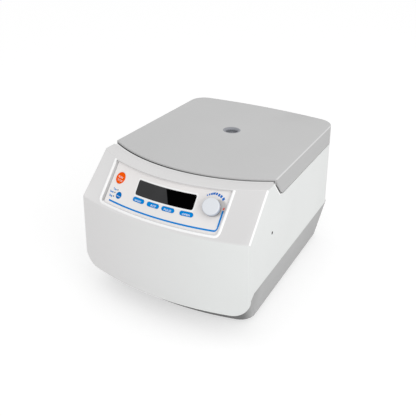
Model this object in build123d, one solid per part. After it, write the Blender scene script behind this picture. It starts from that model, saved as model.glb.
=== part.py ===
from build123d import *
import math
import os

os.makedirs("parts", exist_ok=True)

# Millimetres. X is right, -Y is the front, +Z is up. The origin is under the middle of the whole, on the bench.
# Every plan size follows the chamber's radius and the room round it; every height follows the deck.

# Casing
bowl_radius = 110.0          # inside of the rotor chamber
side_room = 30.0             # from the chamber's wall to the lid's side edge
front_room = 140.0           # from the chamber's wall to the front face
rear_room = 32.0             # from the chamber's wall to the rear face
side_lean = 0.053            # how far a side leans out for each millimetre down
foot_height = 8.0
pan_height = 69.0            # grey tub, up to the seam
pan_taper = 11.0             # how far the tub's sides draw in at its floor
pan_front_share = 0.6        # its front draws in by this share of that
pan_front_back = 28.0        # tub's front edge behind the casing's front, at the seam
pan_lip = 2.5                # thickness of the tub's wall and floor
apron_drop = 35.9            # front apron's lower edge, below the seam
apron_corner = 27.0          # rounding of the apron's lower corners
kick_start = 39.0            # where the seam turns down, behind the casing's front
kick_end = 28.0
kick_drop = 6.5
front_radius = 450.0         # front face, seen from above
rear_radius = 900.0
rear_corner = 30.0
pan_corner = 26.0
front_corner = 4.0           # rounding of the front's corners, the slope's side edges and its foot
deck_z = 222.5               # upper edge of the sloping panel and the ledge in front of the lid
slope_height = 57.5          # from the slope's foot up to the deck
ledge_radius = 260.0         # the ledge's and the lid's front edges, seen from above
ledge_back = 43.0            # the ledge's front edge, behind the casing's front
wall = 3.0
slope_wall = 3.8             # the front wall's and the slope's thickness, measured level
seam_gap = 0.4
boss_radius = 6.0            # bosses that take the housing screws
boss_height = 109.5
boss_rib = 3.0
boss_inset = 18.0            # boss centres from the lid's side edge
boss_front = 80.0            # boss centres behind the front face
boss_rear = 66.0             # and ahead of the rear face
boss_screw_radius = 2.0
boss_screw_length = 24.0
boss_screw_head = (4.0, 2.2)
foot_inset = 36.0
foot_front = 92.0
foot_rear = 50.0
foot_radius = 12.0
foot_taper = 1.5
foot_screw_radius = 1.8
foot_screw_head = (3.6, 2.2)
foot_recess = (4.5, 3.0)
vent_rows = 5
vent_pitch = 12.0
vent_length = 60.0
vent_width = 4.0

# Small screws used all over
screw_radius = 1.5
screw_length = 6.5
screw_head_radius = 2.8
screw_head = 1.6
screw_drive = (1.1, 0.8)

# Lid
lid_rise = 4.0               # lid's top above the deck
lid_front_back = 73.0        # lid's front edge behind the casing's front
lid_wall = 2.9
lid_edge = 2.0
skirt_drop = 31.9
skirt_slant_top = 108.0      # where the skirt's slanted front edge starts, behind the casing's front
skirt_slant_foot = 133.6
skirt_round = 22.0
lid_gap = 1.2
rim_width = 14.0             # deck's rim under the lid
well_depth = 8.5             # deck inside that rim, below the rim
liner_wall = 3.3
liner_inset = 1.0
port_flange_radius = 15.0
port_radius = 10.5
port_flange = 1.4
port_bevel = (2.2, 2.6)
port_window_wall = 2.2
port_ring_tail = 0.6
striker_wall = 3.0
striker_half = 9.0
striker_foot = 2.0
striker_foot_half = 14.0
striker_screw_x = 9.5
striker_corner = 6.0
striker_slack = 1.2          # room round the bolt in the striker's window

# Chamber and rotor
bowl_depth = 110.0           # chamber floor below the deck's well
bowl_wall = 1.2
bowl_flange = 15.0
bowl_screw_room = 11.5       # screws outside the chamber's wall
bowl_hole_radius = 22.0
bowl_hole_collar = 8.0
bowl_clearance = 0.8
seal_room = 1.0
seal_width = 7.0
seal_slope = 2.0
seal_gap = 0.3
boot_wall = 4.0
boot_lip = (2.4, 1.4)
rotor_lift = 14.0            # rotor's seat above the chamber's floor
rotor_room = 22.0            # from the rotor's rim to the chamber's wall
rotor_height = 62.0
rotor_hub = 38.0
rotor_seat_radius = 40.0
rotor_shoulder = 18.0
rotor_mouth_room = 43.0      # tube mouths inside the rotor's rim
rotor_dish_radius = 26.0
tube_count = 4
tube_radius = 13.0           # bore for a tube 25 mm wide
tube_tilt = 22.0
tube_depth = 50.0
nut_radius = 17.0
nut_height = 22.0
nut_flutes = 12
nut_flute_radius = 2.4

# Drive
shaft_radius = 8.0
spindle_radius = 6.0
thread_radius = 5.0
collar_radius = 14.0
collar_height = 4.0
run_gap = 0.05               # radial clearance of what turns
motor_radius = 48.0
motor_wall = 3.0
motor_cap = 4.0
motor_floor_gap = 9.5        # motor above the tub's floor
bearing_radius = 16.0
bearing_height = 9.0
stator_radius = 30.0
stator_gap = 1.0
stator_low_room = 16.0
stator_high_room = 18.0
plate_drop = 16.0            # motor plate below the chamber's floor
motor_plate_wall = 3.0
motor_plate_half = 78.0
motor_plate_corner = 10.0
motor_screw_half = 25.0
motor_screw_radius = 2.5
motor_screw_head = (4.5, 3.0)
plate_post_radius = 7.0
plate_post_inset = 13.0
damper_radius = 11.0
damper_height = 14.0
damper_groove = 3.5

# Panel; heights are above the slope's foot
pocket_depth = 5.7           # level depth of the panel's pocket
pocket_left = -104.5
pocket_right = 98.5
pocket_low = 4.0
pocket_high = 55.4
pocket_corner = 3.0
pocket_floor_wall = 3.4      # level thickness of the wall behind the pocket
pocket_ramp = 6.0            # width of the slanting wall at the pocket's left end
overlay_wall = 1.0
overlay_gap = 0.35
overlay_corner = 2.6
display_left = -45.9
display_right = 51.0
display_low = 26.4
display_high = 44.9
display_corner = 1.6
display_rise = 0.15
display_rim = (2.0, 1.5)     # how far the window's edges overlap its opening
key_rise = 0.5
key_travel = 1.0
key_gap = 0.3
key_edge = 0.4
key_flange = (1.2, 1.2)
key_stem_radius = 2.0
run_key = (-82.3, 36.5, 9.1)
menu_key = (-74.2, 17.3, 5.1)
oval_key_x = (-36.2, -10.2, 14.9, 43.8)
oval_key_rise = 20.8
oval_key_length = 20.5
oval_key_width = 6.5
status_light_spots = ((-79.3, 22.5), (-83.2, 18.4), (-83.2, 14.0), (91.9, 33.3))
status_light_radius = 1.0
status_light_length = 5.0
knob_spot = (76.4, 32.4)
knob_radius = 12.5
knob_height = 13.0
knob_edge = 2.0
knob_gap = 0.6
knob_socket = 8.0
knob_shaft_radius = 3.0
knob_hole_radius = 5.0
encoder_body = (13.0, 11.0)
encoder_neck = (4.5, 5.0)
board_back = 25.0            # control board's face, behind the slope's middle
board_wall = 1.6
board_size = (188.0, 44.0)
board_x = -3.0
board_screw_x = (-60.0, 62.0)
board_screw_half = 17.5
board_boss_radius = 3.2
module_size = (100.0, 20.0, 11.0)
module_shift = 1.2
switch_body = (6.0, 2.4)
switch_button = (1.6, 1.2)
switch_height = 3.5

# Lid lock
lock_room = 39.0             # bolt's centre line ahead of the chamber's wall
bolt_drop = 23.6             # bolt below the lid's underside
bolt_radius = 3.0
bolt_tip_x = 4.0
plunger_radius = 4.0
lever_x = 30.0
lever_half = 5.0
lever_wall = 2.0
lever_pin_radius = 2.0
lever_fork = 5.5             # the lever's fork reaches this far below the bolt's pin
lever_pivot_radius = 2.5
lever_drop = 40.0            # lever's pivot below the bolt
release_drop = 54.7          # release hole below the bolt
release_bore = 1.6
guide_radius = 4.0
guide_boss_radius = 7.0
guide_boss_depth = 14.0
bracket_wall = 2.0
bracket_left = -34.0
bracket_right = 46.0
bracket_screw_x = (-26.0, 38.0)
striker_slot_half = 4.5
solenoid_length = 36.0

# Hinges
hinge_radius = 4.0
hinge_x = 75.0
hinge_width = 36.0
hinge_pin_radius = 2.0
leaf_length = 22.0
leaf_wall = 2.8
leaf_screw_share = 0.62

# Rear fittings
inlet_x = 72.0
inlet_z = 112.0
inlet_half = (24.0, 11.5)
inlet_socket_half = (12.2, 8.2)
inlet_screw_x = 20.0
inlet_pins = ((-7.0, -2.0), (0.0, 3.0), (7.0, -2.0))
fitting_rise = 1.2           # fittings' faces behind the rear wall
switch_x = 31.0
switch_half = (7.5, 10.5)
switch_rim = 2.0
rocker_axle_radius = 1.0
fan_side_room = 52.0         # fan's centre from the lid's side edge
fan_half = 30.0
fan_depth = 20.0
fan_hub_radius = 11.0
fan_blades = 7
fan_pin_radius = 1.5
fan_screw_radius = 1.6
fan_gap = 2.5
fan_slots = 9
fan_slot_pitch = 6.0

# Power board
power_board_half = 66.0
power_board_front = 50.0
power_board_depth = 48.0
power_board_lift = 9.0

# Worked out from the above
lid_width = 2 * (bowl_radius + side_room)
casing_depth = 2 * bowl_radius + front_room + rear_room
front_y = -(casing_depth + 2 * hinge_radius) / 2
rear_y = front_y + casing_depth
chamber_y = rear_y - rear_room - bowl_radius
seam_z = foot_height + pan_height
floor_z = foot_height + pan_lip
lid_top_z = deck_z + lid_rise
lid_under_z = lid_top_z - lid_wall
liner_z = lid_under_z - liner_wall
skirt_z = lid_top_z - skirt_drop
well_z = deck_z - well_depth
crease_z = deck_z - slope_height
apron_z = seam_z - apron_drop
bowl_floor_z = well_z - bowl_depth
rotor_z = bowl_floor_z + rotor_lift
rotor_radius = bowl_radius - rotor_room
motor_plate_z = bowl_floor_z - plate_drop
motor_low_z = floor_z + motor_floor_gap
hinge_y = rear_y + hinge_radius
hinge_z = skirt_z - lid_gap / 2
slope_mid_z = (crease_z + deck_z) / 2
slope_mid_y = front_y + ledge_back / 2
slope_angle = math.degrees(math.atan2(deck_z - crease_z, ledge_back))
lock_y = chamber_y - bowl_radius - lock_room
bolt_z = lid_under_z - bolt_drop
lever_pivot_z = bolt_z - lever_drop
release_z = bolt_z - release_drop
fan_x = fan_side_room - lid_width / 2
fan_z = (seam_z + skirt_z) / 2
far = 600.0
upwards = Rot(180, 0, 0)
forwards = Rot(-90, 0, 0)


def half_width(z):
    return lid_width / 2 + side_lean * (lid_top_z - z)


def upright(z0, z1, profile):
    return extrude(Plane.XY.offset(z0) * profile, z1 - z0)


def block(x0, x1, y0, y1, z0, z1):
    middle = ((x0 + x1) / 2, (y0 + y1) / 2, (z0 + z1) / 2)
    return Pos(*middle) * Box(x1 - x0, y1 - y0, z1 - z0)


def post(x, y, z0, z1, radius, other_radius=None):
    if other_radius is None:
        return Pos(x, y, (z0 + z1) / 2) * Cylinder(radius, z1 - z0)
    return Pos(x, y, (z0 + z1) / 2) * Cone(radius, other_radius, z1 - z0)


def rod_x(x0, x1, y, z, radius):
    return Pos((x0 + x1) / 2, y, z) * Rot(0, 90, 0) * Cylinder(radius, x1 - x0)


def rod_y(x, y0, y1, z, radius):
    return Pos(x, (y0 + y1) / 2, z) * Rot(90, 0, 0) * Cylinder(radius, y1 - y0)


def turned(points, x=0.0, y=0.0):
    profile = make_face(Plane.XZ * Polyline(*points, close=True))
    return Pos(x, y, 0) * revolve(profile, Axis.Z)


def side_profile(points):
    """A YZ outline carried right across the casing."""
    face = make_face(Plane.YZ * Polyline(*points, close=True))
    return extrude(face, far / 2, both=True)


def front_profile(sketch, y0=-far / 2, y1=far / 2):
    """An XZ sketch carried from y0 to y1."""
    return extrude(Plane.XZ.offset(-y1) * sketch, y1 - y0)


# The casing's form

def core(inset, z0, z1):
    """The casing's leaning sides and curved rear, inset from the outside."""
    trapezoid = Polygon(
        (-half_width(z0) + inset, z0), (half_width(z0) - inset, z0),
        (half_width(z1) - inset, z1), (-half_width(z1) + inset, z1), align=None,
    )
    sides = front_profile(trapezoid)
    radius = rear_radius - inset
    body = sides & upright(z0 - 1, z1 + 1, Pos(0, rear_y - rear_radius) * Circle(radius))
    body = body & block(-far, far, front_y - 40, rear_y + 40, z0 - 1, z1 + 1)
    corners = [e for e in body.edges() if e.center().Y > rear_y / 2 and abs(e.center().X) > lid_width / 3
               and abs(e.tangent_at(0.5).Z) > 0.9]
    return fillet(corners, rear_corner - inset)


def front_face_region(z, radius, edge_y):
    """Everything behind an arc, in the level plane at z."""
    half = lid_width / 2 + 40
    sag = radius - math.sqrt(radius ** 2 - half ** 2)
    arc = ThreePointArc((-half, edge_y + sag), (0, edge_y), (half, edge_y + sag))
    rest = Polyline((half, edge_y + sag), (half, far / 2), (-half, far / 2), (-half, edge_y + sag))
    return Plane.XY.offset(z) * make_face(arc + rest)


def front_form(back):
    """The upright curved front with the sloping panel over it, set back by a level distance."""
    low = front_face_region(crease_z, front_radius, front_y + back)
    high = front_face_region(deck_z, ledge_radius, front_y + ledge_back + back)
    upright_part = extrude(low, -crease_z)
    return upright_part + loft([low, high], ruled=True)


def behind_lid_front(inset, z0, z1):
    region = front_face_region(z0, ledge_radius - inset, front_y + lid_front_back + inset)
    return extrude(region, z1 - z0)


def skirt_region(grow, top):
    """Where the lid is, seen from the side: its top plate and its skirts, grown by a gap."""
    start = front_y + skirt_slant_top - grow
    foot = front_y + skirt_slant_foot - grow
    low = skirt_z - grow
    under = lid_under_z - grow
    points = [(front_y, under), (start, under), (foot, low), (rear_y + 30, low),
              (rear_y + 30, top), (front_y, top)]
    face = make_face(Plane.YZ * Polyline(*points, close=True))
    turn = [v for v in face.vertices() if abs(v.Y - foot) < 0.01 and abs(v.Z - low) < 0.01]
    return extrude(fillet(turn, skirt_round), far / 2, both=True)


def below_seam(grow):
    """Everything under the seam, seen from the side."""
    top = seam_z + grow
    points = [(front_y + kick_end, -20), (front_y + kick_end, top - kick_drop),
              (front_y + kick_start, top), (far / 2, top), (far / 2, -20)]
    return side_profile(points)


def apron_corners():
    """The waste outside the apron's rounded lower corners."""
    side = half_width(apron_z) + 30
    half = half_width(apron_z + apron_corner)
    waste = Pos(0, apron_z - 40 + apron_corner / 2) * Rectangle(2 * side, 80 + apron_corner)
    keep = Pos(0, apron_z + 100) * Rectangle(2 * half, 200)
    keep = fillet(keep.vertices().group_by(Axis.Y)[0], apron_corner)
    return front_profile(waste - keep, -far / 2, front_y + kick_start)


def panel_prism(x0, x1, low, high, corner):
    """A rounded outline in front view, its heights above the slope's foot, carried through the slope."""
    z0, z1 = crease_z + low, crease_z + high
    face = Polygon((x0, z0), (x1, z0), (x1, z1), (x0, z1), align=None)
    face = fillet(face.vertices(), corner)
    return front_profile(face, -far / 2, front_y + ledge_back + 60)


def panel_layer(outer, inner, prism):
    """A curved sheet that follows the slope between two level depths."""
    return (front_form(outer) - front_form(inner)) & prism


def left_ramp():
    """The waste in front of the pocket's slanting left wall."""
    inset = abs(pocket_left)
    low_y = front_y + front_radius - math.sqrt(front_radius ** 2 - inset ** 2)
    high_y = front_y + ledge_back + ledge_radius - math.sqrt(ledge_radius ** 2 - inset ** 2)
    lean = (high_y - low_y) / (deck_z - crease_z)

    def section(z):
        y = low_y + lean * (z - crease_z)
        outline = Polygon((pocket_left, y - 1), (pocket_left + pocket_ramp, y + pocket_depth),
                          (pocket_left + pocket_ramp + 1, y - 20), (pocket_left, y - 20), align=None)
        return Plane.XY.offset(z) * outline

    return loft([section(crease_z + pocket_low), section(crease_z + pocket_high)], ruled=True)


def surface_plane(solid, x, rise):
    """The plane that touches the sloping solid at x and a height above the slope's foot, facing out."""
    hits = solid.find_intersection_points(Axis((x, -far, crease_z + rise), (0, 1, 0)))
    point, normal = min(hits, key=lambda hit: hit[0].Y)
    if normal.Y > 0:
        normal = -normal
    across = Vector(-normal.Y, normal.X, 0).normalized()
    return Plane(origin=point, x_dir=across, z_dir=normal)


# Casing parts

def panel_pocket():
    prism = panel_prism(pocket_left + pocket_ramp, pocket_right, pocket_low, pocket_high, pocket_corner)
    in_front = front_form(-30) - front_form(pocket_depth)
    return (in_front & prism) + left_ramp()


def rear_flat(x, z, half_x, half_z, depth):
    """A box through the rear wall, centred at (x, z)."""
    return block(x - half_x, x + half_x, rear_y - depth, rear_y + 20, z - half_z, z + half_z)


def rear_wall_y(x):
    """The casing's rear face at x."""
    return rear_y - rear_radius + math.sqrt(rear_radius ** 2 - x ** 2)


def corner_spots(inset, front, rear):
    """Four spots near the casing's corners."""
    return [(side * (lid_width / 2 - inset), y) for side in (-1, 1) for y in (front_y + front, rear_y - rear)]


boss_spots = corner_spots(boss_inset, boss_front, boss_rear)
foot_spots = corner_spots(foot_inset, foot_front, foot_rear)


def make_housing():
    """The moulded upper casing: one shell with the slope, the ledge, the deck and the rear wall."""
    outer = core(0, apron_z, deck_z) & front_form(0)
    upright_edges = [e for e in outer.edges() if abs(e.center().X) > lid_width / 2 - 10
                     and e.center().Y < front_y + lid_front_back + 27 and abs(e.tangent_at(0.5).Z) > 0.4]
    crease = [e for e in outer.edges() if abs(e.center().Z - crease_z) < 3 and e.length > 100]
    outer = fillet(upright_edges + crease, front_corner)
    neck = core(0, skirt_z - 20, lid_top_z + 20) - core(lid_wall + lid_gap, skirt_z - 20, lid_top_z + 20)
    shell = outer - (neck & skirt_region(lid_gap, lid_top_z + 20))

    cavity_low = core(wall, apron_z - 10, skirt_z - 8) & front_form(slope_wall)
    neck_inset = lid_wall + lid_gap + wall
    cavity_mid = core(neck_inset, skirt_z - 9, well_z - wall) & front_form(slope_wall)
    ledge_front = block(-far, far, front_y, front_y + lid_front_back + rim_width - wall, skirt_z - 9, deck_z - wall)
    cavity_ledge = core(neck_inset, skirt_z - 9, deck_z - wall) & front_form(slope_wall) & ledge_front
    cavity = cavity_low + cavity_mid + cavity_ledge
    backing = panel_prism(pocket_left - 4, pocket_right + 4, pocket_low - 4, slope_height + 20, 2.0)
    cavity -= backing - front_form(pocket_depth + pocket_floor_wall)
    shell -= cavity
    shell -= panel_pocket()

    well = core(rim_width, well_z, deck_z + 10) & behind_lid_front(rim_width, well_z, deck_z + 10)
    shell -= well
    shell -= post(0, chamber_y, well_z - 20, deck_z + 10, bowl_radius + bowl_wall + bowl_clearance)
    shell -= below_seam(0)
    shell -= apron_corners()

    for x, y in boss_spots:
        reach = math.copysign(half_width(seam_z), x)
        boss = post(x, y, floor_z, floor_z + boss_height, boss_radius)
        half_rib = boss_rib / 2
        rib = block(min(x, reach), max(x, reach), y - half_rib, y + half_rib, seam_z + 4, floor_z + boss_height)
        boss += rib & core(wall / 2, seam_z, deck_z)
        shell += boss
        shell -= post(x, y, 0, foot_height + boss_screw_length + 6, boss_screw_radius)
    return shell


def make_base_pan():
    """The grey tub under the casing, drawn in towards its floor."""
    def outline(z, draw_in, thickness=0):
        side_in = draw_in + thickness
        front_in = draw_in * pan_front_share + thickness
        half = half_width(seam_z) - side_in
        rear = Pos(0, rear_y - rear_radius) * Circle(rear_radius - side_in)
        front = Pos(0, front_y + pan_front_back + front_radius) * Circle(front_radius - front_in)
        face = (Pos(0, (front_y + rear_y) / 2) * Rectangle(2 * half, casing_depth + 40)) & rear & front
        face = fillet(face.vertices(), pan_corner)
        return Plane.XY.offset(z) * face

    outer = loft([outline(foot_height, pan_taper), outline(seam_z - seam_gap, 0)], ruled=True)
    lean = pan_taper / pan_height
    inner_low = outline(floor_z, pan_taper - lean * pan_lip, pan_lip)
    inner_high = outline(seam_z + 5, -lean * 5, pan_lip)
    tub = (outer - loft([inner_low, inner_high], ruled=True)) & below_seam(-seam_gap)
    for x, y in boss_spots:
        tub -= post(x, y, 0, floor_z, boss_screw_radius + seam_gap)
    for x, y in foot_spots:
        tub -= post(x, y, 0, floor_z, foot_screw_radius)
    for row in range(vent_rows):
        y = chamber_y + (row - (vent_rows - 1) / 2) * vent_pitch
        slot = SlotOverall(vent_length, vent_width)
        tub -= upright(0, floor_z + 1, Pos(0, y) * slot)
    return tub


def make_feet():
    recess_radius, recess = foot_recess
    head_radius, head = foot_screw_head
    foot = post(0, 0, 0, foot_height, foot_radius - foot_taper, foot_radius)
    foot -= post(0, 0, 0, recess, recess_radius)
    foot -= post(0, 0, 0, foot_height, foot_screw_radius)
    screw = post(0, 0, recess - head, recess, head_radius)
    screw += post(0, 0, recess, floor_z + 4.5, foot_screw_radius)
    return {"rubber_feet": [Pos(x, y, 0) * foot for x, y in foot_spots],
            "foot_screws": [Pos(x, y, 0) * screw for x, y in foot_spots]}


def make_housing_screws():
    head_radius, head = boss_screw_head
    screw = post(0, 0, foot_height - head, foot_height, head_radius)
    screw += post(0, 0, foot_height, foot_height + boss_screw_length, boss_screw_radius)
    screw -= post(0, 0, foot_height - head, foot_height - head / 2, boss_screw_radius - 0.6)
    return [Pos(x, y, 0) * screw for x, y in boss_spots]


# Lid

def make_lid():
    """Lid shell, its liner and the viewing port."""
    form = core(0, skirt_z, lid_top_z) & behind_lid_front(0, skirt_z - 5, lid_top_z + 5)
    form = form & skirt_region(0, lid_top_z)
    top_edges = [e for e in form.edges() if e.center().Z > lid_top_z - 0.01]
    form = fillet(top_edges, lid_edge)
    hollow = core(lid_wall, skirt_z - 5, lid_under_z)
    hollow = hollow & block(-far, far, front_y, rear_y + 20, skirt_z - 5, lid_under_z)
    shell = form - hollow
    port_hole = post(0, chamber_y, lid_under_z - 20, lid_top_z + 5, port_radius + port_flange)
    flange_seat = post(0, chamber_y, lid_top_z - port_flange, lid_top_z + 5, port_flange_radius)
    shell = shell - port_hole - flange_seat

    inset = rim_width + liner_inset
    liner = core(inset, liner_z, lid_under_z) & behind_lid_front(inset, liner_z, lid_under_z)
    liner -= port_hole

    tail = liner_z - port_ring_tail
    bevel_width, bevel_depth = port_bevel
    ring = turned([
        (port_radius, tail), (port_radius + port_flange, tail),
        (port_radius + port_flange, lid_top_z - port_flange), (port_flange_radius, lid_top_z - port_flange),
        (port_flange_radius, lid_top_z), (port_radius + bevel_width, lid_top_z), (port_radius, lid_top_z - bevel_depth),
    ], 0, chamber_y)
    window = post(0, chamber_y, tail, tail + port_window_wall, port_radius)
    return {"lid_shell": shell, "lid_liner": liner, "port_ring": ring, "port_window": window}


def make_striker():
    """The plate that hangs from the liner and takes the lock bolt."""
    y0, y1 = lock_y - striker_half, lock_y + striker_half
    low = bolt_z - 8
    plate = block(-striker_wall / 2, striker_wall / 2, y0, y1, low, liner_z)
    plate += block(-striker_foot_half, striker_foot_half, y0, y1, liner_z - striker_foot, liner_z)
    lower = [e for e in plate.edges() if e.center().Z < low + 1 and abs(e.tangent_at(0.5).X) > 0.9]
    plate = fillet(lower, striker_corner)
    reach = bolt_radius + striker_slack
    plate -= block(-striker_wall, striker_wall, lock_y - reach, lock_y + reach, bolt_z - reach, bolt_z + reach)
    return drilled(plate, striker_places())


def striker_places():
    return [Pos(x, lock_y, liner_z - striker_foot) * upwards for x in (-striker_screw_x, striker_screw_x)]


def small_screw():
    """The screw used all over the casing: its head stands on z = 0, its shank hangs below."""
    drive_radius, drive_depth = screw_drive
    screw = post(0, 0, 0, screw_head, screw_head_radius) + post(0, 0, -screw_length, 0, screw_radius)
    return screw - post(0, 0, screw_head - drive_depth, screw_head, drive_radius)


def screws_at(places):
    return [place * small_screw() for place in places]


def drilled(solid, places):
    for place in places:
        solid -= place * Pos(0, 0, -screw_length / 2 + 0.5) * Cylinder(screw_radius, screw_length + 1)
    return solid


leaf_y = rear_wall_y(hinge_x - hinge_width / 2) + leaf_wall


def leaf_places(side):
    """Screws of both hinges' lower leaves (side -1) or upper leaves (side 1)."""
    z = hinge_z + side * leaf_length * leaf_screw_share
    spots = [hand * hinge_x + dx for hand in (-1, 1) for dx in (-hinge_width / 3, hinge_width / 3)]
    return [Pos(x, leaf_y, z) * forwards for x in spots]


def make_hinges():
    """Two hinges on the rear face: a lower leaf on the casing, an upper leaf on the lid, and the pin."""
    lower_leaves, upper_leaves, pins = [], [], []
    casing = core(0, apron_z, lid_top_z)
    third = hinge_width / 3
    near = hinge_radius + 0.6
    for x in (-hinge_x, hinge_x):
        x0, x1 = x - hinge_width / 2, x + hinge_width / 2
        lower = block(x0, x1, rear_y - 12, leaf_y, hinge_z - leaf_length, hinge_z - near)
        for edge in (x0, x1 - third + 0.3):
            lower += block(edge, edge + third - 0.3, rear_y - 12, hinge_y - 1, hinge_z - near - 3, hinge_z)
            lower += rod_x(edge, edge + third - 0.3, hinge_y, hinge_z, hinge_radius)
        lower = lower - casing - rod_x(x0 - 1, x1 + 1, hinge_y, hinge_z, hinge_pin_radius)
        upper = block(x0, x1, rear_y - 12, leaf_y, hinge_z + near, hinge_z + leaf_length)
        upper += block(x0 + third, x1 - third, rear_y - 12, hinge_y - 1, hinge_z, hinge_z + near + 3)
        upper += rod_x(x0 + third, x1 - third, hinge_y, hinge_z, hinge_radius)
        upper = upper - casing - rod_x(x0 - 1, x1 + 1, hinge_y, hinge_z, hinge_pin_radius + run_gap)
        lower_leaves.append(drilled(lower, leaf_places(-1)))
        upper_leaves.append(drilled(upper, leaf_places(1)))
        pins.append(rod_x(x0 - 0.6, x1 + 0.6, hinge_y, hinge_z, hinge_pin_radius))
    return {"hinge_leaves_lower": lower_leaves, "hinge_leaves_upper": upper_leaves, "hinge_pins": pins}


# Chamber and drive

def make_chamber():
    """The chamber's barrel with its flange, its floor, the rim gasket and the boot round the shaft."""
    top = well_z
    outer = bowl_radius + bowl_wall
    floor_top = bowl_floor_z + bowl_wall
    barrel = turned([
        (bowl_radius, floor_top), (outer, floor_top), (outer, top), (bowl_radius + bowl_flange, top),
        (bowl_radius + bowl_flange, top + bowl_wall), (bowl_radius, top + bowl_wall),
    ], 0, chamber_y)
    hub = bowl_hole_radius + bowl_wall
    floor = turned([
        (bowl_hole_radius, bowl_floor_z), (outer, bowl_floor_z), (outer, floor_top), (hub, floor_top),
        (hub, bowl_floor_z + bowl_hole_collar), (bowl_hole_radius, bowl_floor_z + bowl_hole_collar),
    ], 0, chamber_y)
    low = top + bowl_wall
    seal_top = liner_z - seal_gap
    seal_in = bowl_radius + seal_room
    seal_out = seal_in + seal_width
    gasket = turned([
        (seal_in, low), (seal_out, low), (seal_out, seal_top - seal_slope), (seal_out - seal_slope, seal_top),
        (seal_in + seal_slope, seal_top), (seal_in, seal_top - seal_slope),
    ], 0, chamber_y)
    base = motor_plate_z + motor_plate_wall
    lip = bowl_floor_z + bowl_hole_collar
    hole = bowl_hole_radius
    lip_width, lip_wall = boot_lip
    boot = turned([
        (hole - boot_wall, base), (hole, base), (hole, lip), (hole + lip_width, lip),
        (hole + lip_width, lip + lip_wall), (shaft_radius + 3, lip + lip_wall),
        (shaft_radius + 3, lip - 1), (hole - boot_wall, lip - 1),
    ], 0, chamber_y)
    return {"chamber_bowl": drilled(barrel, bowl_places()), "chamber_floor": floor, "rim_gasket": gasket,
            "shaft_boot": boot}


def bowl_places():
    level = well_z + bowl_wall
    reach = bowl_radius + bowl_screw_room
    return [Pos(0, chamber_y, level) * Rot(0, 0, 45 + 90 * turn) * Pos(reach, 0, 0) for turn in range(4)]


def make_drive():
    top, low = motor_plate_z, motor_low_z
    inner = motor_radius - motor_wall
    bore = shaft_radius + 1
    seat = bearing_radius + 3
    can = turned([
        (bore, low), (motor_radius - 3, low), (motor_radius, low + 3), (motor_radius, top),
        (bore, top), (bore, top - 1), (bearing_radius, top - 1),
        (bearing_radius, top - motor_cap - bearing_height + 2), (seat, top - motor_cap - bearing_height + 2),
        (seat, top - motor_cap), (inner, top - motor_cap), (inner, low + motor_cap),
        (seat, low + motor_cap), (seat, low + bearing_height + 1),
        (bearing_radius, low + bearing_height + 1), (bearing_radius, low + 1), (bore, low + 1),
    ], 0, chamber_y)
    rings = []
    for z in (low + 1, top - 1 - bearing_height):
        ring = post(0, chamber_y, z, z + bearing_height, bearing_radius)
        rings.append(ring - post(0, chamber_y, z, z + bearing_height, shaft_radius + run_gap))
    stator_low = low + stator_low_room
    stator_high = top - stator_high_room
    stator = post(0, chamber_y, stator_low, stator_high, inner)
    stator -= post(0, chamber_y, stator_low, stator_high, stator_radius)
    armature = post(0, chamber_y, stator_low + 2, stator_high - 2, stator_radius - stator_gap)
    armature -= post(0, chamber_y, stator_low, stator_high, shaft_radius)
    seat_z = rotor_z - collar_height
    nut_z = rotor_z + rotor_hub
    shaft = post(0, chamber_y, low + 1, seat_z, shaft_radius)
    shaft += post(0, chamber_y, seat_z, nut_z, spindle_radius)
    shaft += post(0, chamber_y, nut_z, nut_z + nut_height - 4, thread_radius)
    collar = post(0, chamber_y, seat_z, rotor_z, collar_radius) - post(0, chamber_y, seat_z, rotor_z, spindle_radius)

    size = 2 * motor_plate_half
    plate = upright(top, top + motor_plate_wall, Pos(0, chamber_y) * RectangleRounded(size, size, motor_plate_corner))
    plate -= post(0, chamber_y, top - 1, top + 10, shaft_radius + 4)
    head_radius, head = motor_screw_head
    reach = motor_plate_half - plate_post_inset
    posts, dampers, screws = [], [], []
    for sx, sy in ((-1, -1), (-1, 1), (1, -1), (1, 1)):
        x, y = sx * reach, chamber_y + sy * reach
        posts.append(post(x, y, floor_z, top - damper_height, plate_post_radius))
        dampers.append(post(x, y, top - damper_height, top, damper_radius) - damper_waist(x, y, top))
        x, y = sx * motor_screw_half, chamber_y + sy * motor_screw_half
        plate -= post(x, y, top - 1, top + 10, motor_screw_radius)
        level = top + motor_plate_wall
        screws.append(post(x, y, top, level, motor_screw_radius) + post(x, y, level, level + head, head_radius))
    return {"motor_housing": can, "motor_bearings": rings, "motor_stator": stator, "motor_armature": armature,
            "drive_shaft": shaft, "drive_collar": collar, "motor_plate": plate, "plate_posts": posts,
            "rubber_dampers": dampers, "motor_screws": screws}


def damper_waist(x, y, top):
    """The groove round a damper's middle."""
    return Pos(x, y, top - damper_height / 2) * Torus(damper_radius + 1.5, damper_groove)


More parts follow.
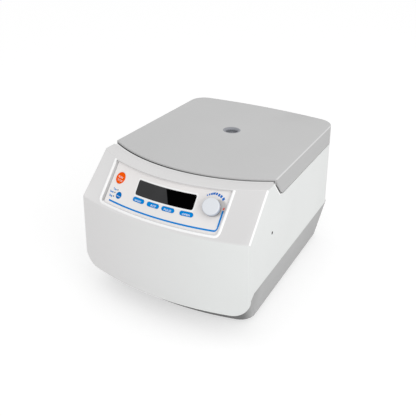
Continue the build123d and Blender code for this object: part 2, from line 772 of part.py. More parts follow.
def make_rotor():
    """The angle rotor, its tube bores and the nut that holds it on the spindle."""
    z = rotor_z
    top = z + rotor_height
    lean = math.tan(math.radians(tube_tilt))
    rim = rotor_radius - rotor_shoulder - 6
    mouth = rotor_radius - rotor_mouth_room
    seat = rotor_seat_radius
    profile = [
        (spindle_radius, z), (seat, z), (seat + 6, z - 2.5), (rotor_radius - 6, z - 2.5), (rotor_radius, z + 4),
        (rotor_radius - rotor_shoulder, top - 2), (rotor_radius - rotor_shoulder - 2, top), (rim, top),
        (rotor_dish_radius, top - (rim - rotor_dish_radius) * lean), (rotor_dish_radius - 3, z + rotor_hub),
        (spindle_radius, z + rotor_hub),
    ]
    body = turned(profile, 0, chamber_y)
    mouth_z = top - (rim - mouth) * lean
    for turn in range(tube_count):
        place = Pos(0, chamber_y, 0) * Rot(0, 0, turn * 360 / tube_count)
        place = place * Pos(mouth, 0, mouth_z) * Rot(0, -tube_tilt, 0)
        body -= place * Pos(0, 0, -tube_depth / 2 + 10) * Cylinder(tube_radius, tube_depth + 20)
    nut_z = z + rotor_hub
    nut = post(0, chamber_y, nut_z, nut_z + nut_height, nut_radius)
    nut = fillet(nut.edges().sort_by(Axis.Z)[-1], 3.0)
    flute = post(nut_radius + 1.2, 0, nut_z + 4, nut_z + nut_height, nut_flute_radius)
    for turn in range(nut_flutes):
        nut -= Pos(0, chamber_y, 0) * Rot(0, 0, turn * 360 / nut_flutes) * flute
    nut -= post(0, chamber_y, nut_z, nut_z + nut_height - 3, thread_radius)
    return {"angle_rotor": body, "rotor_nut": nut}


# Lid lock

def make_lock():
    """Bracket under the deck, solenoid, bolt, emergency lever and the guide tube behind the side hole."""
    under = well_z - wall
    sheet = bracket_wall
    low_y = lock_y - 11
    plate_y = low_y + 2.5
    slot = block(-striker_slot_half, striker_slot_half, low_y, lock_y + 14, under - sheet, under)
    bracket = block(bracket_left, bracket_right, low_y, lock_y + 20, under - sheet, under) - slot
    bracket = drilled(bracket, bracket_places())
    for x in (-9, 7):
        cheek = block(x, x + sheet, low_y, lock_y + 11, bolt_z - 8, under)
        bracket += cheek - rod_x(x - 1, x + sheet + 1, lock_y, bolt_z, bolt_radius + run_gap)
    flange = block(bracket_left, bracket_right, low_y, plate_y, under - 4, under)
    bracket += flange - block(-striker_slot_half, striker_slot_half, -far, far, 0, far)
    bracket += block(lever_x - 9, lever_x + 9, plate_y - sheet, plate_y, lever_pivot_z - 8, under)
    bracket += rod_y(lever_x, plate_y, plate_y + 5, lever_pivot_z, lever_pivot_radius)

    lever_y = plate_y + 1.0
    back_y = lever_y + lever_wall
    foot_z = release_z - 5
    lever = block(lever_x - lever_half, lever_x + lever_half, lever_y, back_y, foot_z, bolt_z + 8)
    lever -= rod_y(lever_x, lever_y - 1, back_y + 1, lever_pivot_z, lever_pivot_radius + run_gap)
    fork = Pos(lever_x, bolt_z + 12 - lever_fork) * Rot(0, 0, 90) * SlotOverall(24.0, 2 * lever_pin_radius + 0.4)
    lever -= front_profile(fork, lever_y - 1, back_y + 1)
    lever += block(lever_x - 1, lever_x + 1, lever_y, lock_y + 4, foot_z, release_z + 4)

    bolt = rod_x(bolt_tip_x, lever_x + 6, lock_y, bolt_z, bolt_radius)
    bolt = chamfer(bolt.edges().sort_by(Axis.X)[0], 1.0)
    bolt += rod_x(lever_x - 5, lever_x + 50, lock_y, bolt_z, plunger_radius)
    bolt += rod_y(lever_x, lever_y - 0.5, lock_y, bolt_z, lever_pin_radius)

    body_x = lever_x + 18
    solenoid = block(body_x, body_x + solenoid_length, lock_y - 12, lock_y + 12, bolt_z - 10, under)
    solenoid -= rod_x(body_x - 1, body_x + solenoid_length - 2, lock_y, bolt_z, plunger_radius + run_gap)

    wall_x = half_width(release_z)
    guide = rod_x(lever_x + 12, wall_x - wall + 1, lock_y, release_z, guide_radius)
    guide -= rod_x(lever_x + 11, wall_x, lock_y, release_z, release_bore)
    switch = block(bracket_left + 2, bracket_left + 21, lock_y - 5, lock_y + 5, under - 14, under - sheet)
    switch += block(bracket_left + 21, bracket_left + 22, lock_y - 2, lock_y + 2, under - 12, under - 6)
    return {"lock_bracket": bracket, "release_lever": lever, "lock_bolt": bolt, "lock_solenoid": solenoid,
            "release_guide": guide, "lid_switch": switch}


def bracket_places():
    return [Pos(x, lock_y + 15.5, well_z - wall - bracket_wall) * upwards for x in bracket_screw_x]


# Panel and controls

def board_plane():
    """The control board's front face, behind the middle of the slope."""
    normal = Vector(0, -math.sin(math.radians(slope_angle)), math.cos(math.radians(slope_angle)))
    origin = Vector(0, slope_mid_y, slope_mid_z) - normal * board_back
    return Plane(origin=origin, x_dir=(1, 0, 0), z_dir=normal)


def depth_to_board(plane):
    """How far the board lies below a point of the panel, along that point's own normal."""
    board = board_plane()
    gap = (plane.origin - board.origin).dot(board.z_dir)
    return gap / plane.z_dir.dot(board.z_dir)


def key_solid(plane, sketch):
    """A key: its cap through the panel, a retaining flange behind it and a stem towards its switch."""
    floor_wall = pocket_floor_wall * math.sin(math.radians(slope_angle))
    top = overlay_wall + key_rise
    grow, flange_wall = key_flange
    cap = Pos(0, 0, top) * extrude(sketch, top + floor_wall + 0.4, dir=(0, 0, -1))
    rim = [e for e in cap.edges() if abs(e.center().Z - top) < 0.01]
    cap = fillet(rim, key_edge)
    flange = Pos(0, 0, -floor_wall - 0.4) * extrude(offset(sketch, grow), flange_wall, dir=(0, 0, -1))
    reach = depth_to_board(plane) - switch_height - key_travel - 0.3
    stem = post(0, 0, -reach, -floor_wall, key_stem_radius)
    return plane * (cap + flange + stem)


def make_switch():
    size, height = switch_body
    button_radius, button = switch_button
    button_post = post(0, 0, height - 0.1, height + button - 0.1, button_radius)
    return Pos(0, 0, height / 2) * Box(size, size, height) + button_post


def make_keys(floor):
    """Seven keys with the switches behind them, and their openings in the panel."""
    keys = [("run_stop_key", run_key[0], run_key[1], Circle(run_key[2])),
            ("menu_key", menu_key[0], menu_key[1], Circle(menu_key[2]))]
    for number, x in enumerate(oval_key_x, 1):
        keys.append((f"function_key_{number}", x, oval_key_rise, SlotOverall(oval_key_length, oval_key_width)))
    made, switches, cuts = {}, [], []
    for name, x, rise, sketch in keys:
        plane = surface_plane(floor, x, rise)
        made[name] = key_solid(plane, sketch)
        cuts.append(plane * extrude(offset(sketch, key_gap), 8, both=True))
        foot = plane.origin - plane.z_dir * depth_to_board(plane)
        switches.append(Plane(origin=foot, x_dir=(1, 0, 0), z_dir=board_plane().z_dir) * make_switch())
    made["key_switches"] = switches
    return made, cuts


def make_lights(floor):
    lights, cuts = [], []
    front = overlay_wall + 0.1
    for x, rise in status_light_spots:
        plane = surface_plane(floor, x, rise)
        lights.append(plane * post(0, 0, front - status_light_length, front, status_light_radius))
        cuts.append(plane * Cylinder(status_light_radius, 16))
    return {"status_lights": lights}, cuts


def make_knob(floor):
    """The setting knob, its shaft and the encoder on the board."""
    plane = surface_plane(floor, *knob_spot)
    back = -depth_to_board(plane)
    skirt = knob_gap + overlay_wall
    knob = post(0, 0, skirt, skirt + knob_height, knob_radius)
    knob = fillet(knob.edges().sort_by(Axis.Z)[-1], knob_edge)
    knob -= post(0, 0, skirt, skirt + knob_socket, knob_shaft_radius)
    shaft = post(0, 0, back + 5, skirt + knob_socket, knob_shaft_radius)
    size, height = encoder_body
    neck_radius, neck = encoder_neck
    body = Pos(0, 0, back + 2) * Box(size, size, height)
    body += post(0, 0, back + 7, back + 7 + neck, neck_radius)
    body -= post(0, 0, back + 4, back + 24, knob_shaft_radius + run_gap)
    behind_board = board_plane() * Pos(0, 0, -20) * Box(260, 90, 40)
    made = {"setting_knob": plane * knob, "encoder_shaft": plane * shaft,
            "knob_encoder": plane * body - behind_board}
    return made, [plane * Cylinder(knob_hole_radius, 16)]


def make_controls():
    floor = front_form(pocket_depth)
    made, cuts = make_keys(floor)
    for others, other_cuts in (make_lights(floor), make_knob(floor)):
        made.update(others)
        cuts += other_cuts

    outline = panel_prism(pocket_left + pocket_ramp + overlay_gap, pocket_right - overlay_gap,
                          pocket_low + overlay_gap, pocket_high - overlay_gap, overlay_corner)
    level = overlay_wall / math.sin(math.radians(slope_angle))
    overlay = panel_layer(pocket_depth - level, pocket_depth, outline)
    window_prism = panel_prism(display_left, display_right, display_low, display_high, display_corner)
    overlay -= window_prism
    for cut in cuts:
        overlay -= cut
    made["control_overlay"] = overlay
    made["display_window"] = panel_layer(pocket_depth - level - display_rise, pocket_depth, window_prism)

    board = board_plane()
    plate = Pos(board_x, 0, 0) * RectangleRounded(*board_size, 3)
    made["control_board"] = drilled(board * extrude(plate, board_wall, dir=(0, 0, -1)), board_places())
    middle = (display_low + display_high - slope_height) / 2
    along = middle / math.sin(math.radians(slope_angle)) + module_shift
    width, height, depth = module_size
    outline = Pos((display_left + display_right) / 2, along) * RectangleRounded(width, height, 1)
    made["display_module"] = board * upright(0, depth, outline)
    return made, cuts


def board_places():
    board = Location(board_plane())
    spots = [(x, s) for x in board_screw_x for s in (-board_screw_half, board_screw_half)]
    return [board * Pos(x, s, -board_wall) * upwards for x, s in spots]


def board_bosses():
    """Bosses behind the panel that carry the control board."""
    form = front_form(pocket_depth + 1.5)
    return [(place * post(0, 0, -board_wall - 40, -board_wall, board_boss_radius)) & form for place in board_places()]


def window_opening():
    x_rim, z_rim = display_rim
    return panel_prism(display_left + x_rim, display_right - x_rim, display_low + z_rim, display_high - z_rim,
                       display_corner)


# Rear fittings

def make_inlet():
    """The power inlet: a flanged socket with three blades."""
    half_x, half_z = inlet_half
    hx, hz = inlet_socket_half
    face = fitting_face_y()
    y = rear_wall_y(inlet_x + half_x)
    inlet = block(inlet_x - half_x, inlet_x + half_x, y - 6, face, inlet_z - half_z, inlet_z + half_z)
    inlet -= core(0, apron_z, skirt_z)
    inlet += block(inlet_x - hx - 2, inlet_x + hx + 2, y - 24, face, inlet_z - hz - 2, inlet_z + hz + 2)
    inlet -= block(inlet_x - hx, inlet_x + hx, y - 20, face + 1, inlet_z - hz, inlet_z + hz)
    for dx, dz in inlet_pins:
        x, z = inlet_x + dx, inlet_z + dz
        inlet += block(x - 1, x + 1, y - 21, face - 3, z - 2, z + 2)
    return drilled(inlet, inlet_places())


def make_power_switch():
    """The rocker switch: its bezel with the axle, and the rocker."""
    face = fitting_face_y()
    inner = rear_wall_y(inlet_x - inlet_half[0]) - wall
    sx, sz = switch_half
    rim = switch_rim
    bezel = block(switch_x - sx - rim, switch_x + sx + rim, face - 7, face, inlet_z - sz - rim - 1,
                  inlet_z + sz + rim + 1)
    bezel -= core(0, apron_z, skirt_z)
    bezel += block(switch_x - sx, switch_x + sx, inner - 12, face, inlet_z - sz - 1, inlet_z + sz + 1)
    bezel -= block(switch_x - sx + 1.2, switch_x + sx - 1.2, inner - 10, face + 1, inlet_z - sz, inlet_z + sz)
    axle_y = face - 3
    bezel += rod_x(switch_x - sx + 0.6, switch_x + sx - 0.6, axle_y, inlet_z, rocker_axle_radius)
    reach = sz - 1.2
    outline = make_face(Plane.YZ * Polyline(
        (axle_y - 5, inlet_z - 3), (face + 1.5, inlet_z - reach), (face + 0.2, inlet_z),
        (face - 1.2, inlet_z + reach), (axle_y - 5, inlet_z + 3), close=True))
    rocker = Pos(switch_x, 0, 0) * extrude(outline, sx - 1.5, both=True)
    rocker -= rod_x(switch_x - sx, switch_x + sx, axle_y, inlet_z, rocker_axle_radius + run_gap)
    return {"switch_bezel": bezel, "power_rocker": rocker}


def make_fan():
    """The cooling fan behind the slots: its frame with three spokes, its impeller and its screws."""
    y1 = fan_face_y()
    y0 = y1 - fan_depth
    half, hub = fan_half, fan_hub_radius
    frame = block(fan_x - half, fan_x + half, y0, y1, fan_z - half, fan_z + half)
    frame -= rod_y(fan_x, y0 - 1, y1 + 1, fan_z, half - 2)
    frame += rod_y(fan_x, y0, y0 + 3, fan_z, hub)
    spoke = Pos(half / 2, 0, 0) * Box(half, 3, 4)
    for turn in range(3):
        frame += Pos(fan_x, y0 + 1.5, fan_z) * Rot(0, turn * 120 + 90, 0) * spoke
    frame += rod_y(fan_x, y0 + 3, y1 - 3, fan_z, fan_pin_radius)
    impeller = rod_y(fan_x, y0 + 4, y1 - 2, fan_z, hub)
    blade = Pos(hub + 7.2, 0, 0) * Rot(40, 0, 0) * Box(17, 1.4, 13)
    for turn in range(fan_blades):
        impeller += Pos(fan_x, y0 + fan_depth / 2 + 1, fan_z) * Rot(0, turn * 360 / fan_blades, 0) * blade
    impeller -= rod_y(fan_x, y0, y1 - 2, fan_z, fan_pin_radius + run_gap)
    screws = []
    for x, z in fan_corners():
        shank = rod_y(x, y0, y1 + 4, z, fan_screw_radius)
        frame -= shank
        screws.append(shank + rod_y(x, y0 - 2, y0, z, 2 * fan_screw_radius + 0.2))
    return {"fan_frame": frame, "fan_impeller": impeller, "fan_screws": screws}


def fitting_face_y():
    return rear_wall_y(switch_x - switch_half[0] - switch_rim) + fitting_rise


def inlet_places():
    return [Pos(inlet_x + dx, fitting_face_y(), inlet_z) * forwards for dx in (-inlet_screw_x, inlet_screw_x)]


def fan_corners():
    reach = fan_half - 4
    return [(fan_x + sx * reach, fan_z + sz * reach) for sx in (-1, 1) for sz in (-1, 1)]


def fan_face_y():
    return rear_wall_y(fan_x - fan_half) - wall - fan_gap


def rear_cuts():
    """The openings in the rear wall for the inlet, the switch and the fan's air."""
    hx, hz = inlet_socket_half
    cuts = [rear_flat(inlet_x, inlet_z, hx + 2.3, hz + 2.3, 30),
            rear_flat(switch_x, inlet_z, switch_half[0] + 0.3, switch_half[1] + 1.3, 30)]
    for x, z in fan_corners():
        cuts.append(rod_y(x, fan_face_y() - 1, fan_face_y() + 4, z, fan_screw_radius))
    for row in range(fan_slots):
        z = fan_z + (row - (fan_slots - 1) / 2) * fan_slot_pitch
        slot = SlotOverall(2 * (fan_half - 4), fan_slot_pitch / 2)
        cuts.append(Pos(fan_x, 0, z) * front_profile(slot, rear_y - 30, rear_y + 10))
    return cuts


def fan_bosses():
    return [rod_y(x, fan_face_y(), rear_wall_y(x) - wall / 2, z, 2 * fan_screw_radius) for x, z in fan_corners()]


def make_power_board():
    """The driver board on four posts ahead of the motor."""
    half = power_board_half
    y0 = front_y + power_board_front
    y1 = y0 + power_board_depth
    z = floor_z + power_board_lift
    top = z + board_wall
    middle = (y0 + y1) / 2
    board = block(-half, half, y0, y1, z, top)
    board += post(25 - half, middle, top, top + 24, 12)
    board += block(45 - half, 75 - half, middle - 17, middle + 17, top, top + 18)
    board += block(half - 41, half - 7, middle - 15, middle + 15, top, top + 26)
    spots = [(x, y) for x in (5 - half, half - 5) for y in (y0 + 5, y1 - 5)]
    return {"power_board": board, "board_posts": [post(x, y, floor_z, z, 3.0) for x, y in spots]}


def finish_housing(housing, control_cuts):
    """The housing with its openings, bosses and screw holes."""
    for boss in board_bosses() + fan_bosses():
        housing += boss
    for cut in control_cuts + rear_cuts():
        housing -= cut
    housing -= window_opening()
    wall_x = half_width(release_z)
    housing += rod_x(wall_x - guide_boss_depth, wall_x - 1, lock_y, release_z, guide_boss_radius)
    housing -= rod_x(wall_x - guide_boss_depth - 1, wall_x - wall + 1, lock_y, release_z, guide_radius)
    housing -= rod_x(wall_x - 20, wall_x + 5, lock_y, release_z, release_bore)
    housing -= block(-striker_slot_half, striker_slot_half, lock_y - 13, lock_y + 14, well_z - 10, well_z + 1)
    return drilled(housing, base_places)


base_places = leaf_places(-1) + bowl_places() + bracket_places() + board_places() + inlet_places()
lid_places = leaf_places(1) + striker_places()

parts = {}
control_parts, control_cuts = make_controls()
parts["housing"] = finish_housing(make_housing(), control_cuts)
parts["base_pan"] = make_base_pan()
parts.update(make_feet())
parts["housing_screws"] = make_housing_screws()
parts["fixing_screws"] = screws_at(base_places)
parts.update(make_lid())
parts["lid_shell"] = drilled(parts["lid_shell"], lid_places)
parts["lid_liner"] = drilled(parts["lid_liner"], lid_places)
parts["lid_striker"] = make_striker()
parts["lid_screws"] = screws_at(lid_places)
parts.update(make_hinges())
parts.update(make_chamber())
parts.update(make_drive())
parts.update(make_rotor())
parts.update(make_lock())
parts.update(control_parts)
parts["power_inlet"] = make_inlet()
parts.update(make_power_switch())
parts.update(make_fan())
parts.update(make_power_board())

for name, shape in parts.items():
    solids = shape if isinstance(shape, list) else [shape]
    node = Compound(label=name, children=[s for item in solids for s in item.solids()])
    export_step(node, f"parts/{name}.step")
    size = node.bounding_box().size
    print(f"{name:20s} solids {len(node.solids())}  {size.X:7.1f} {size.Y:7.1f} {size.Z:7.1f}")
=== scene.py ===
import bpy
import math
from mathutils import Matrix, Vector


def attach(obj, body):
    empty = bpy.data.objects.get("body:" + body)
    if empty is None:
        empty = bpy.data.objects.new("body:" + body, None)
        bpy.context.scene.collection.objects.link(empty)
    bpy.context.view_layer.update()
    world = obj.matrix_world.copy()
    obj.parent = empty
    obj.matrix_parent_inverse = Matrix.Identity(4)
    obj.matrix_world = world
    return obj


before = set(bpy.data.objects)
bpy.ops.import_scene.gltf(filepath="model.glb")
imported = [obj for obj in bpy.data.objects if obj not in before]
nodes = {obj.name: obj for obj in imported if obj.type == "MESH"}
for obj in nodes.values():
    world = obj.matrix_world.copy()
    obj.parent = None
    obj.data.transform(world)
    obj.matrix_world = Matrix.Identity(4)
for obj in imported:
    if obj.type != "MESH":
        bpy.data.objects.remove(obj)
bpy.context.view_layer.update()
mm = 0.001
print("frame loaded,", len(nodes), "nodes")


def deselectAll():
    if bpy.context.object and bpy.context.object.mode != "OBJECT":
        bpy.ops.object.mode_set(mode="OBJECT")
    bpy.ops.object.select_all(action="DESELECT")


def pickOnly(piece):
    deselectAll()
    piece.select_set(True)
    bpy.context.view_layer.objects.active = piece


def applyPlace(piece):
    pickOnly(piece)
    bpy.ops.object.transform_apply(location=True, rotation=True, scale=True)


def applyAll(piece):
    pickOnly(piece)
    for name in [m.name for m in piece.modifiers]:
        bpy.ops.object.modifier_apply(modifier=name)


def dress(piece, material):
    piece.data.materials.clear()
    piece.data.materials.append(material)


# Shader groups that several materials share.
def newGroup(name, inputs, outputs):
    tree = bpy.data.node_groups.new(name, "ShaderNodeTree")
    for label, value in inputs:
        kind = "NodeSocketVector" if isinstance(value, tuple) else "NodeSocketFloat"
        socket = tree.interface.new_socket(name=label, in_out="INPUT", socket_type=kind)
        socket.default_value = value
    for label in outputs:
        tree.interface.new_socket(name=label, in_out="OUTPUT", socket_type="NodeSocketFloat")
    return tree, tree.nodes.new("NodeGroupInput"), tree.nodes.new("NodeGroupOutput")


def feed(tree, socket, value):
    # links an output to the socket, or sets a plain value
    if hasattr(value, "is_output"):
        tree.links.new(value, socket)
    else:
        socket.default_value = value


def mathNode(tree, operation, first, second=None, third=None, clamp=False):
    node = tree.nodes.new("ShaderNodeMath")
    node.operation = operation
    node.use_clamp = clamp
    for index, value in enumerate((first, second, third)):
        if value is not None:
            feed(tree, node.inputs[index], value)
    return node.outputs[0]


def product(tree, first, *others):
    for other in others:
        first = mathNode(tree, "MULTIPLY", first, other)
    return first


def vectorNode(tree, operation, first, second=None):
    node = tree.nodes.new("ShaderNodeVectorMath")
    node.operation = operation
    for index, value in enumerate((first, second)):
        if value is not None:
            feed(tree, node.inputs[index], value)
    return node


def splitPlace(tree):
    # the point's own x, y and z in metres
    coords = tree.nodes.new("ShaderNodeTexCoord")
    split = tree.nodes.new("ShaderNodeSeparateXYZ")
    tree.links.new(coords.outputs["Object"], split.inputs[0])
    return coords.outputs["Object"], split.outputs["X"], split.outputs["Y"], split.outputs["Z"]


def stepUp(tree, value, edge, softness):
    # nought below the edge, one above it, over a soft band
    scaled = mathNode(tree, "SUBTRACT", value, edge)
    return mathNode(tree, "MULTIPLY_ADD", scaled, 1 / softness, 0.5, clamp=True)


def stepDown(tree, value, edge, softness):
    return mathNode(tree, "SUBTRACT", 1.0, stepUp(tree, value, edge, softness))


def band(tree, value, edges, softness):
    # one between the two edges, with a soft band at each
    return product(tree, stepUp(tree, value, edges[0], softness[0]), stepDown(tree, value, edges[1], softness[1]))


def distance(tree, first, second):
    squares = mathNode(tree, "MULTIPLY_ADD", first, first, product(tree, second, second))
    return mathNode(tree, "SQRT", squares)


def mixNode(tree, kind, factor, first, second):
    node = tree.nodes.new("ShaderNodeMix")
    node.data_type = kind
    for label, value in (("Factor", factor), ("A", first), ("B", second)):
        feed(tree, node.inputs[label], value)
    return node.outputs["Result"]


def mixValues(tree, factor, first, second):
    return mixNode(tree, "FLOAT", factor, first, second)


def mixColours(tree, factor, first, second):
    return mixNode(tree, "RGBA", factor, first, second)


def rampValue(tree, value, fromLow, fromHigh, toLow, toHigh):
    node = tree.nodes.new("ShaderNodeMapRange")
    for label, number in (("From Min", fromLow), ("From Max", fromHigh), ("To Min", toLow), ("To Max", toHigh)):
        node.inputs[label].default_value = number
    tree.links.new(value, node.inputs["Value"])
    return node.outputs["Result"]


def placeGroup(tree, group, values):
    node = tree.nodes.new("ShaderNodeGroup")
    node.node_tree = group
    for label, value in values.items():
        node.inputs[label].default_value = value
    return node


def noiseNode(tree, vector, scale, detail, roughness):
    node = tree.nodes.new("ShaderNodeTexNoise")
    tree.links.new(vector, node.inputs["Vector"])
    for label, value in (("Scale", scale), ("Detail", detail), ("Roughness", roughness)):
        feed(tree, node.inputs[label], value)
    return node.outputs["Fac"]


# noise of the shared textures: its scale, unless the material gives that, then its detail and roughness
texture = {"fine": (4.0, 0.62), "drift": (2.0, 0.4), "scratch": (6.0, 0.7), "brushedCloud": (14.0, 3.0, 0.5),
           "rings": (0.35, 3.0, 0.6), "turnedCloud": (18.0, 3.0, 0.5), "middle": (0.3, 0.7)}
turning = {"Centre Y": 0.05, "Pitch": 3200.0}


def makeMouldedGrain():
    # fine spark-eroded texture with a slow drift in tone
    tree, start, end = newGroup("mouldedGrain", [("Grain Scale", 900.0), ("Drift Scale", 9.0)], ["Grain", "Drift"])
    coords = tree.nodes.new("ShaderNodeTexCoord")
    fine = noiseNode(tree, coords.outputs["Object"], start.outputs["Grain Scale"], *texture["fine"])
    drift = noiseNode(tree, coords.outputs["Object"], start.outputs["Drift Scale"], *texture["drift"])
    tree.links.new(fine, end.inputs["Grain"])
    tree.links.new(drift, end.inputs["Drift"])
    return tree


def makeBrushedMetal():
    # scratches drawn out along the axes that are stretched
    inputs = [("Stretch X", 1.0), ("Stretch Y", 1.0), ("Stretch Z", 1.0), ("Scale", 60.0)]
    tree, start, end = newGroup("brushedMetal", inputs, ["Scratch", "Cloud"])
    coords = tree.nodes.new("ShaderNodeTexCoord")
    stretch = tree.nodes.new("ShaderNodeCombineXYZ")
    for axis in "XYZ":
        tree.links.new(start.outputs["Stretch " + axis], stretch.inputs[axis])
    scaled = vectorNode(tree, "MULTIPLY", coords.outputs["Object"], stretch.outputs[0])
    scratch = noiseNode(tree, scaled.outputs[0], start.outputs["Scale"], *texture["scratch"])
    cloud = noiseNode(tree, coords.outputs["Object"], *texture["brushedCloud"])
    tree.links.new(scratch, end.inputs["Scratch"])
    tree.links.new(cloud, end.inputs["Cloud"])
    return tree


def makeRingTurned():
    # lathe rings about the chamber's axis
    tree, start, end = newGroup("ringTurned", list(turning.items()), ["Rings", "Cloud"])
    place, x, y, z = splitPlace(tree)
    radius = distance(tree, x, mathNode(tree, "SUBTRACT", y, start.outputs["Centre Y"]))
    join = tree.nodes.new("ShaderNodeCombineXYZ")
    tree.links.new(product(tree, radius, start.outputs["Pitch"]), join.inputs["X"])
    tree.links.new(product(tree, z, start.outputs["Pitch"]), join.inputs["Y"])
    rings = noiseNode(tree, join.outputs[0], *texture["rings"])
    cloud = noiseNode(tree, place, *texture["turnedCloud"])
    tree.links.new(rings, end.inputs["Rings"])
    tree.links.new(cloud, end.inputs["Cloud"])
    return tree


# the casing's faces: where they lie, in metres, and how the painted light and shade on each scales the colour
# four numbers are a ramp: from here, to there, and what it gives at each
casing = {"sideX": 0.140, "lean": 0.053, "topZ": 0.2265, "sideSoft": 0.0016, "sideShade": 0.965,
          "creaseZ": 0.165, "creaseSoft": 0.003, "deckZ": 0.2219, "deckSoft": 0.0008,
          "front": (-0.135, 0.135, 0.995, 1.04), "slope": (-0.135, 0.125, 1.07, 0.89),
          "ledge": (-0.05, 0.12, 1.0, 0.965), "cool": (-0.10, 0.09, 0.0, 1.0), "neutral": "#E6E5E5"}

# the panel's pocket: painted shade on its slanting left wall and a painted shade line along its upper edge
pocket = {"backY": -0.105, "backSoft": 0.004, "wallX": (-0.1046, -0.0984), "wallZ": (0.1695, 0.2203),
          "wallSoft": (0.0006, 0.0006), "wallShades": (0.57, 0.80), "rimZ": (0.2201, 0.2212),
          "rimSoft": (0.0003, 0.0003), "rimX": 0.0985, "rimEndSoft": 0.001, "rimShade": 0.80}

# the ledge's rear edge, an arc: painted shadow of the gap under the lid and a painted highlight on the edge in front of
# it
ledge = {"centreY": 0.133, "radius": 0.260, "backY": -0.06, "backSoft": 0.001,
         "groove": (-0.0030, 0.0011), "grooveSoft": (0.0008, 0.0005), "grooveFade": (-0.06, 0.13, 1.0, 0.3),
         "grooveTint": "#4A4B4C", "ledgeHighlight": (0.0014, 0.0036), "ledgeHighlightSoft": (0.0005, 0.0008),
         "brightTint": "#FBFBFB"}


def makeSideMask():
    # one on the leaning side faces
    tree, start, end = newGroup("sideMask", [], ["Side"])
    place, x, y, z = splitPlace(tree)
    reach = mathNode(tree, "MULTIPLY_ADD", z, -casing["lean"], casing["sideX"] + casing["lean"] * casing["topZ"])
    out = mathNode(tree, "SUBTRACT", mathNode(tree, "ABSOLUTE", x), reach)
    tree.links.new(stepUp(tree, out, -casing["sideSoft"], casing["sideSoft"]), end.inputs["Side"])
    return tree


def makeCaseZones():
    # painted light and shade for each face of the casing and the pocket, painted shadow in the gap under the lid, a
    # painted highlight on the ledge's edge, and where the colour is cool
    tree, start, end = newGroup("caseZones", [], ["Tone", "GapShade", "Bright", "Cool"])
    place, x, y, z = splitPlace(tree)
    slopePart = stepUp(tree, z, casing["creaseZ"], casing["creaseSoft"])
    ledgePart = stepUp(tree, z, casing["deckZ"], casing["deckSoft"])
    side = placeGroup(tree, sideMask, {}).outputs["Side"]
    tone = mixValues(tree, slopePart, rampValue(tree, x, *casing["front"]), rampValue(tree, x, *casing["slope"]))
    tone = mixValues(tree, ledgePart, tone, rampValue(tree, x, *casing["ledge"]))
    tone = mixValues(tree, side, tone, casing["sideShade"])
    cool = mixValues(tree, slopePart, rampValue(tree, x, *casing["cool"]), 0.0)
    tree.links.new(mixValues(tree, side, cool, 1.0), end.inputs["Cool"])

    beforeLid = stepDown(tree, y, pocket["backY"], pocket["backSoft"])
    wall = product(tree, band(tree, x, pocket["wallX"], pocket["wallSoft"]),
                   band(tree, z, pocket["wallZ"], pocket["wallSoft"]), beforeLid)
    tone = mixValues(tree, wall, tone, rampValue(tree, z, *pocket["wallZ"], *pocket["wallShades"]))
    inWidth = stepDown(tree, mathNode(tree, "ABSOLUTE", x), pocket["rimX"], pocket["rimEndSoft"])
    rim = product(tree, band(tree, z, pocket["rimZ"], pocket["rimSoft"]), inWidth, beforeLid)
    tree.links.new(mixValues(tree, rim, tone, pocket["rimShade"]), end.inputs["Tone"])

    radius = distance(tree, x, mathNode(tree, "SUBTRACT", y, ledge["centreY"]))
    arc = mathNode(tree, "SUBTRACT", radius, ledge["radius"])
    ahead = product(tree, ledgePart, stepDown(tree, y, ledge["backY"], ledge["backSoft"]))
    groove = product(tree, band(tree, arc, ledge["groove"], ledge["grooveSoft"]),
                     rampValue(tree, x, *ledge["grooveFade"]), ahead)
    ledgeHighlight = product(tree, band(tree, arc, ledge["ledgeHighlight"], ledge["ledgeHighlightSoft"]), ahead)
    tree.links.new(groove, end.inputs["GapShade"])
    tree.links.new(ledgeHighlight, end.inputs["Bright"])
    return tree


lineEdge = {"across": 2500.0, "ends": 1200.0}  # how sharply a line's mask ends


def makeLineMask():
    # one near a straight line that starts at a point and runs along a unit vector
    inputs = [("Start", (0.0, 0.0, 0.0)), ("Along", (1.0, 0.0, 0.0)), ("Length", 0.1), ("Width", 0.001)]
    tree, start, end = newGroup("lineMask", inputs, ["Mask"])
    place, x, y, z = splitPlace(tree)
    fromStart = vectorNode(tree, "SUBTRACT", place, start.outputs["Start"]).outputs["Vector"]
    across = vectorNode(tree, "CROSS_PRODUCT", fromStart, start.outputs["Along"]).outputs["Vector"]
    away = vectorNode(tree, "LENGTH", across).outputs["Value"]
    run = vectorNode(tree, "DOT_PRODUCT", fromStart, start.outputs["Along"]).outputs["Value"]
    inside = mathNode(tree, "SUBTRACT", start.outputs["Width"], away)
    near = mathNode(tree, "MULTIPLY_ADD", inside, lineEdge["across"], 0.5, clamp=True)
    begun = mathNode(tree, "MULTIPLY", run, lineEdge["ends"], clamp=True)
    toEnd = mathNode(tree, "SUBTRACT", start.outputs["Length"], run)
    left = mathNode(tree, "MULTIPLY", toEnd, lineEdge["ends"], clamp=True)
    tree.links.new(product(tree, near, begun, left), end.inputs["Mask"])
    return tree


sideMask = makeSideMask()
caseZones = makeCaseZones()
lineMask = makeLineMask()
mouldedGrain = makeMouldedGrain()
brushedMetal = makeBrushedMetal()
ringTurned = makeRingTurned()
print("shader groups made")


# Materials.
def srgb(code):
    values = [int(code[i:i + 2], 16) / 255 for i in (1, 3, 5)]
    return [v / 12.92 if v <= 0.04045 else ((v + 0.055) / 1.055) ** 2.4 for v in values] + [1.0]


def newMaterial(name, roughness, metallic=0.0, **settings):
    material = bpy.data.materials.new(name)
    material.use_nodes = True
    shader = material.node_tree.nodes["Principled BSDF"]
    shader.inputs["Roughness"].default_value = roughness
    shader.inputs["Metallic"].default_value = metallic
    for label, value in settings.items():
        shader.inputs[label.replace("_", " ")].default_value = value
    return material, material.node_tree, shader


def spread(tree, value, low, high):
    # noise keeps near its middle, so that part is drawn out over the whole range
    return rampValue(tree, value, *texture["middle"], low, high)


